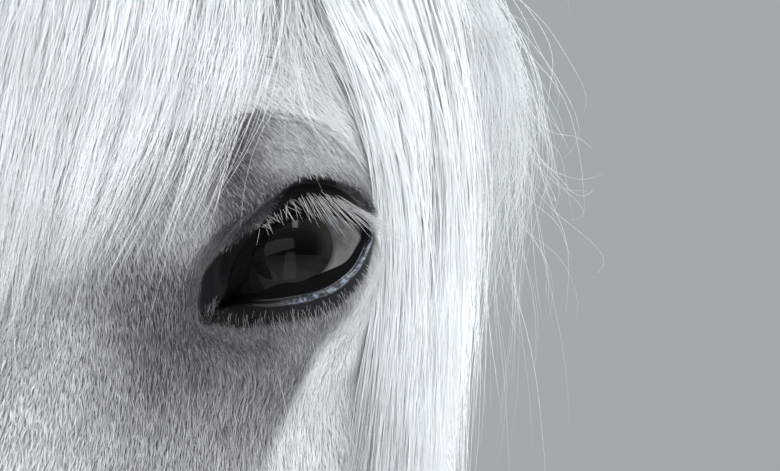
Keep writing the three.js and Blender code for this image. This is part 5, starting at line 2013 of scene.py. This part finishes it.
def mane_side(name, node, side, share, count, seed, finish):
    """Half of the mane: strands rise from the crest, fall over to one side and hang down it."""
    rng = np.random.default_rng(seed)
    steps = 15
    y = MANE[-1, 0] + (MANE[0, 0] - MANE[-1, 0]) * rng.random(count) ** 1.15
    crest, hang = looked_up(MANE, y)
    by_head = 1 - ramp(-820, -640, y)
    hang = hang * share * chance(rng, 0.6, 1.08, count) * (1 - 0.45 * by_head * (side > 0))
    t = np.linspace(0, 1, steps)[None, :]
    root = side * chance(rng, -2, 12, count)[:, None]
    out = (34 + 26 * rng.random(count)) * (1 - 0.45 * by_head)
    x = root + side * out[:, None] * (1 - np.exp(-4 * t))
    z = crest[:, None] + 6 * np.sin(np.pi * np.minimum(t * 4, 1)) - hang[:, None] * t**1.15
    sway = chance(rng, -16, 10, count)[:, None]
    drift = wandering(rng, count, steps, 5.0) * (1 - 0.6 * by_head)[:, None, None]
    paths = np.stack([x, y[:, None] + sway * t, z], -1) + drift
    paths = clumped(paths, rng, count // 26, chance(rng, 0.2, 0.8, count))
    layer = (chance(rng, 1, 20, count) * (1 - 0.85 * by_head))[:, None] * np.minimum(t * 5, 1)
    paths = smooth_paths(pushed_out(paths, layer), 2)
    facing = np.array([side, 0.0, 0.35])
    piece = strands(name, paths, 1.9, facing, rng, finish, 0.94, 0.94)
    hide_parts(node)


# Tail: y and z of its middle, half its width and half its depth
TAIL = dense([
    [745, 1392, 34, 26], [792, 1384, 38, 30], [836, 1350, 44, 36], [862, 1290, 54, 44],
    [874, 1200, 66, 50], [880, 1080, 76, 54], [882, 940, 80, 56], [880, 800, 78, 54],
    [876, 660, 70, 48], [872, 530, 56, 40], [868, 420, 38, 28], [866, 345, 18, 14],
])


def tail_points(station, turn, share):
    """Places in the tail: a station along it, a turn about its middle and a share of the way
    out to its surface. Its sections stand square to its run, which curves over and down."""
    rows = np.arange(len(TAIL))
    y, z, wide, deep = (np.interp(station, rows, TAIL[:, k]) for k in range(4))
    run_y = np.interp(station, rows, np.gradient(TAIL[:, 0]))
    run_z = np.interp(station, rows, np.gradient(TAIL[:, 1]))
    size = np.hypot(run_y, run_z)
    out = share * deep * np.sin(turn)
    return np.stack(
        [share * wide * np.cos(turn), y - out * run_z / size, z + out * run_y / size], -1
    )


def add_tail(finish):
    """A smooth core inside, and strands that leave it on their way down."""
    rng = np.random.default_rng(401)
    turn = full_turn(40)
    station = np.linspace(0, (len(TAIL) - 1) * 0.8, 60)[:, None]
    core = new_object("tail_core", *closed_tube(tail_points(station, turn, 0.72)[:, ::-1]))
    write_colours(core.data, "shade", np.tile(WHITE_HAIR * 0.85, (len(core.data.vertices), 1)))
    core.data.materials.append(finish)
    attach(core, "root")
    count, steps = 4000, 17
    start = (len(TAIL) - 1) * 0.42 * rng.random(count) ** 1.4
    end = (len(TAIL) - 1) * (1 - 0.45 * rng.random(count) ** 1.5)
    station = start[:, None] + (end - start)[:, None] * np.linspace(0, 1, steps)
    about = rng.random(count)[:, None] * 2 * np.pi
    share = chance(rng, 0.78, 1.0, count)[:, None]
    share = share - 0.35 * np.exp(-np.linspace(0, 1, steps) * 9)
    paths = tail_points(station, about, share)
    paths = paths + wandering(rng, count, steps, 5.0)
    paths = clumped(paths, rng, 150, chance(rng, 0.1, 0.6, count))
    middle = tail_points(station, about, 0.0 * share)
    facing = unit(paths - middle + 1e-6)
    piece = strands("tail_hair", smooth_paths(paths, 1), 1.9, facing, rng, finish)
    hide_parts("tail")


# ---- Hooves ----
HOOF_TOP, HOOF_TOE, HOOF_HEEL, HOOF_FLARE = 93.6, 38.0, 8.0, 8.0


def add_hooves():
    """Each hoof runs from its coronet down to a level sole: the toe slopes forward, the heel
    a little back, and the wall flares. A low roll of horn stands round the top."""
    s = Surface("horn", Roughness=0.5, IOR=1.5)
    rings = s.noise(22, (0.25, 0.25, 3.0), detail=4)
    grain = s.noise(260, (1.0, 1.0, 0.12), detail=3)
    banded = s.ranged(rings, 0.35, 0.65, 0, 1)
    s.join(s.mix(banded, (0.07, 0.063, 0.056, 1), (0.14, 0.124, 0.108, 1)), "Base Color")
    s.join(s.bump(s.sum("ADD", rings, s.sum("MULTIPLY", grain, 0.4)), 0.5, 0.002), "Normal")
    turn = full_turn(56)
    c, d = np.cos(turn), np.sin(turn)
    t = np.linspace(0, 1, 26)[:, None]
    for leg, rows in (("foreleg", FORELEG), ("hindleg", HINDLEG)):
        _, front, back, inner, outer = rows[-1]
        toe, heel = front - HOOF_TOE * t, back + HOOF_HEEL * t
        middle = heel - (heel - toe) * 0.45
        roll = 1.6 * np.exp(-(((t - 0.05) / 0.06) ** 2)) - 3 * (1 - ramp(0, 0.03, t))
        half = (outer - inner) / 2 + 2 + HOOF_FLARE * t + roll
        ahead = np.abs(c) ** (2 / 2.1) * np.sign(c)
        side = np.abs(d) ** (2 / 2.6) * np.sign(d)
        length = np.where(c > 0, middle - toe, heel - middle) + roll
        worn = 1 - 0.4 * np.maximum(t - 0.97, 0)
        for hand, word in SIDES:
            points = np.stack([
                hand * ((inner + outer) / 2 + half * side * worn),
                middle - length * ahead * worn,
                HOOF_TOP * (1 - t) + 0 * c,
            ], -1)
            piece = new_object(f"hoof_{leg}_{word}", *closed_tube(points[:, ::hand]))
            piece.data.materials.append(s.material)
            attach(piece, "root")
            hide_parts(f"{leg}_{word}_hoof")


add_camera()
add_stage()
skin, skin_points, skin_triangles, skin_normals = make_flesh()
make_eyes()
add_hooves()
short_hair = hair_material("short_hair", 0.62, 120.0)
long_hair = hair_material("long_hair", 0.5, 40.0)
add_coat(short_hair)
add_lashes(long_hair)
add_lid_hairs(short_hair)
add_ear_tufts(short_hair)
add_forelock(long_hair)
add_poll_hair(long_hair)
add_strays(long_hair)
add_whiskers(long_hair)
mane_side("mane_left_hair", "mane_left", 1, 1.0, 3400, 302, long_hair)
mane_side("mane_right_hair", "mane_right", -1, 0.45, 2200, 303, long_hair)
add_tail(long_hair)
